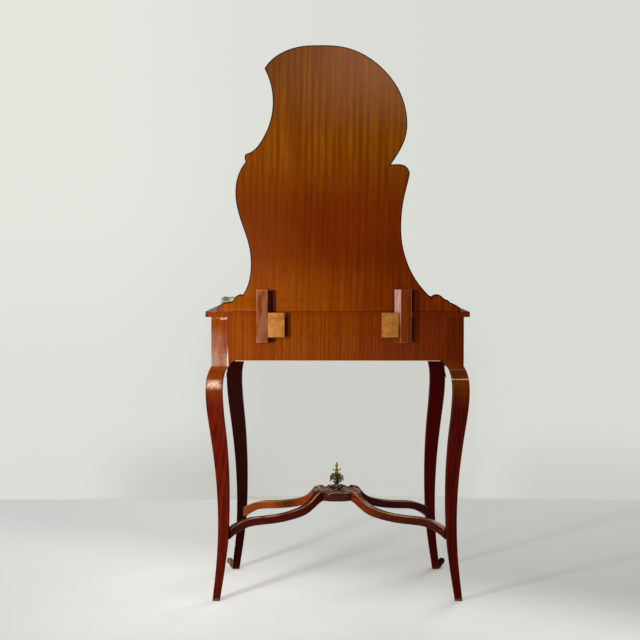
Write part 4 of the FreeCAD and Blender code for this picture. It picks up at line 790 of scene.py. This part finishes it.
# Battens and keepers: two mahogany battens screwed to the back board, and the raw dovetailed blocks on the
# apron that they drop behind. Their edges are knocked and rubbed pale, and the battens' edges also carry a
# painted highlight. The window-side batten has pale streaks painted as a sheen and a painted highlight on
# its top end, and the inner bevel facing the window is painted as lit and the one facing away as shaded.
BATTEN_TIMBER = tone(134, 68, 24), tone(104, 42, 8)
BLOCK_TIMBER = tone(196, 138, 70), tone(170, 106, 42)
BATTEN_FACE = 15 * MM
BEVEL_STEP = 0.2 * MM
LIT_BEVEL_FROM = (0.700, 0.742)

batten_finish = Finish("batten_mahogany")
across = batten_finish.along("x")
height = batten_finish.along("z")
lit_side = across.rising(-MIDDLE, MIDDLE)
colour, relief = timber(batten_finish, *BATTEN_TIMBER, ribbon=150.0)
chalky = batten_finish.noise(90.0, 4.0, (1.0, 1.0, 0.22)).rising(0.36, 0.62)
# Pale chalky streaks: faint on the far batten, strong on the window's side, where they are a painted sheen.
colour = batten_finish.mixed(chalky * (lit_side * 0.50 + 0.04), colour, tone(140, 96, 72))
shaded_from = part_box("batten_right")[0].x + BATTEN_FACE
shaded_bevel = across.rising(shaded_from + BEVEL_STEP, shaded_from - BEVEL_STEP) * lit_side
colour = batten_finish.mixed(shaded_bevel * 0.85, colour, tone(52, 18, 8))
batten_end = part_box("batten_left")[1]
lit_bevel_from = batten_end.x - BATTEN_FACE
# Painted light on the inner bevel that faces the window.
lit_bevel = across.rising(lit_bevel_from - BEVEL_STEP, lit_bevel_from + BEVEL_STEP) * (1.0 - lit_side)
lit_bevel = lit_bevel * (chalky * 0.35 + 0.50) * height.rising(*LIT_BEVEL_FROM)
colour = batten_finish.mixed(lit_bevel, colour, tone(214, 170, 160))
# Edges rubbed pale, and painted as a highlight.
highlit_edges = batten_finish.marked("worn") * (chalky * 0.5 + 0.1)
colour = batten_finish.mixed(highlit_edges, colour, tone(196, 140, 112))
# Painted highlight on the top end of the batten on the window's side.
lit_end_grain = height.rising(batten_end.z - 4 * MM, batten_end.z - 2 * MM) * lit_side
colour = batten_finish.mixed(lit_end_grain * (chalky * 0.5 + 0.2), colour, tone(196, 96, 44))
batten_timber = polished(batten_finish, colour, relief, 0.5, 0.0)

block_finish = Finish("raw_block_wood")
colour, relief = timber(block_finish, *BLOCK_TIMBER, ribbon=170.0, figure=0.6)
blotches = block_finish.noise(55.0, 4.0).rising(0.38, 0.66)
colour = block_finish.mixed(blotches * 0.5, colour, tone(206, 150, 96))
stains = block_finish.noise(38.0, 2.0, (1.0, 1.0, 2.0)).rising(0.56, 0.70)
colour = block_finish.mixed(stains * 0.4, colour, tone(120, 62, 18))
colour = block_finish.mixed(block_finish.marked("worn") * 0.5, colour, tone(110, 56, 22))
colour = block_finish.mixed(0.35, colour, tone(150, 90, 34))
raw_wood = polished(block_finish, colour, relief, 0.7, 0.0)
for side in ("right", "left"):
    batten = worn_edges(opened(f"batten_{side}"), 1.0 * MM)
    piece(f"rubbed_batten_{side}", batten, batten_timber, "mirror", "mahogany", f"batten_{side}")
    block = worn_edges(opened(f"keeper_block_{side}"), 0.8 * MM)
    piece(f"rubbed_keeper_{side}", block, raw_wood, "table", "raw_block_wood", f"keeper_block_{side}")

# Drawer: a bowed front veneered on oak, with a crossbanded border and a line of pale stringing. Its sides
# and back are plain oak boards, and a thin bottom slides into grooves in them.
DRAWER_VENEER = tone(176, 84, 14), tone(134, 50, 5)
DRAWER_BANDING = tone(120, 40, 8), tone(88, 22, 4)
BANDING_WIDTH = 12 * MM
STRINGING = (-1.3 * MM, -1.1 * MM, -0.1 * MM, 0.1 * MM)

drawer_low, drawer_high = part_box("drawer_front")
drawer_finish = Finish("drawer_veneer")
colour, relief = timber(drawer_finish, *DRAWER_VENEER, figure=0.8)
banding, _ = timber(drawer_finish, *DRAWER_BANDING, SIDEWAYS)
middle_z = (drawer_low.z + drawer_high.z) / 2
half_height = (drawer_high.z - drawer_low.z) / 2
past_side = abs(drawer_finish.along("x")) - (drawer_high.x - BANDING_WIDTH)
past_level = abs(drawer_finish.along("z") - middle_z) - (half_height - BANDING_WIDTH)
inset = past_side.larger(past_level)
colour = drawer_finish.mixed(inset.rising(0.0, 0.2 * MM), colour, banding)
colour = drawer_finish.mixed(inset.between(*STRINGING), colour, tone(206, 160, 92))
behind_veneer = drawer_finish.along("y").rising(drawer_high.y - 2 * MM, drawer_high.y - 1.6 * MM)
colour = drawer_finish.mixed(behind_veneer, colour, tone(190, 150, 104))
dress(polished(drawer_finish, colour, relief, 0.3, 0.3), "drawer_front")
dress(oak, "drawer_side_right", "drawer_side_left", "drawer_back", "drawer_bottom")

# Lock and handles: a brass case let into the drawer front with a steel bolt and the key in it, and cast
# bronze drop handles on posts. A small cartouche of leaves is pinned over the keyhole.
# Each cartouche leaf's root along x and z, turn in degrees, length and width.
CARTOUCHE_LEAVES = ((0, 700, 0, 11, 9),
                    (-5, 699, -38, 10, 7),
                    (5, 699, 38, 10, 7),
                    (-8, 692, -74, 9, 7),
                    (8, 692, 74, 9, 7),
                    (0, 676, 180, 11, 8),
                    (-5, 678, 214, 10, 6),
                    (5, 678, 146, 10, 6))

brass = bronze("dull_brass", tone(190, 150, 84), tone(140, 104, 56))
dress(brass, "lock_case", "strike_plate", "key")
dress(worn_gilt, "escutcheon", "handle_posts_right", "handle_posts_left", "handle_right", "handle_left")
plate_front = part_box("escutcheon")[0].y
cartouche = bmesh.new()
for x, z, turn, length, width in CARTOUCHE_LEAVES:
    root = Matrix.Translation((x * MM, plate_front - 0.2 * MM, z * MM))
    leaf(cartouche, length * MM, width * MM, 0.25, -0.4,
         root @ Matrix.Rotation(math.radians(turn), 4, "Y"), fold=0.2)
cast(piece("escutcheon_leaves", cartouche, cast_gilt, "drawer", "gilt_bronze"), 0.8 * MM)
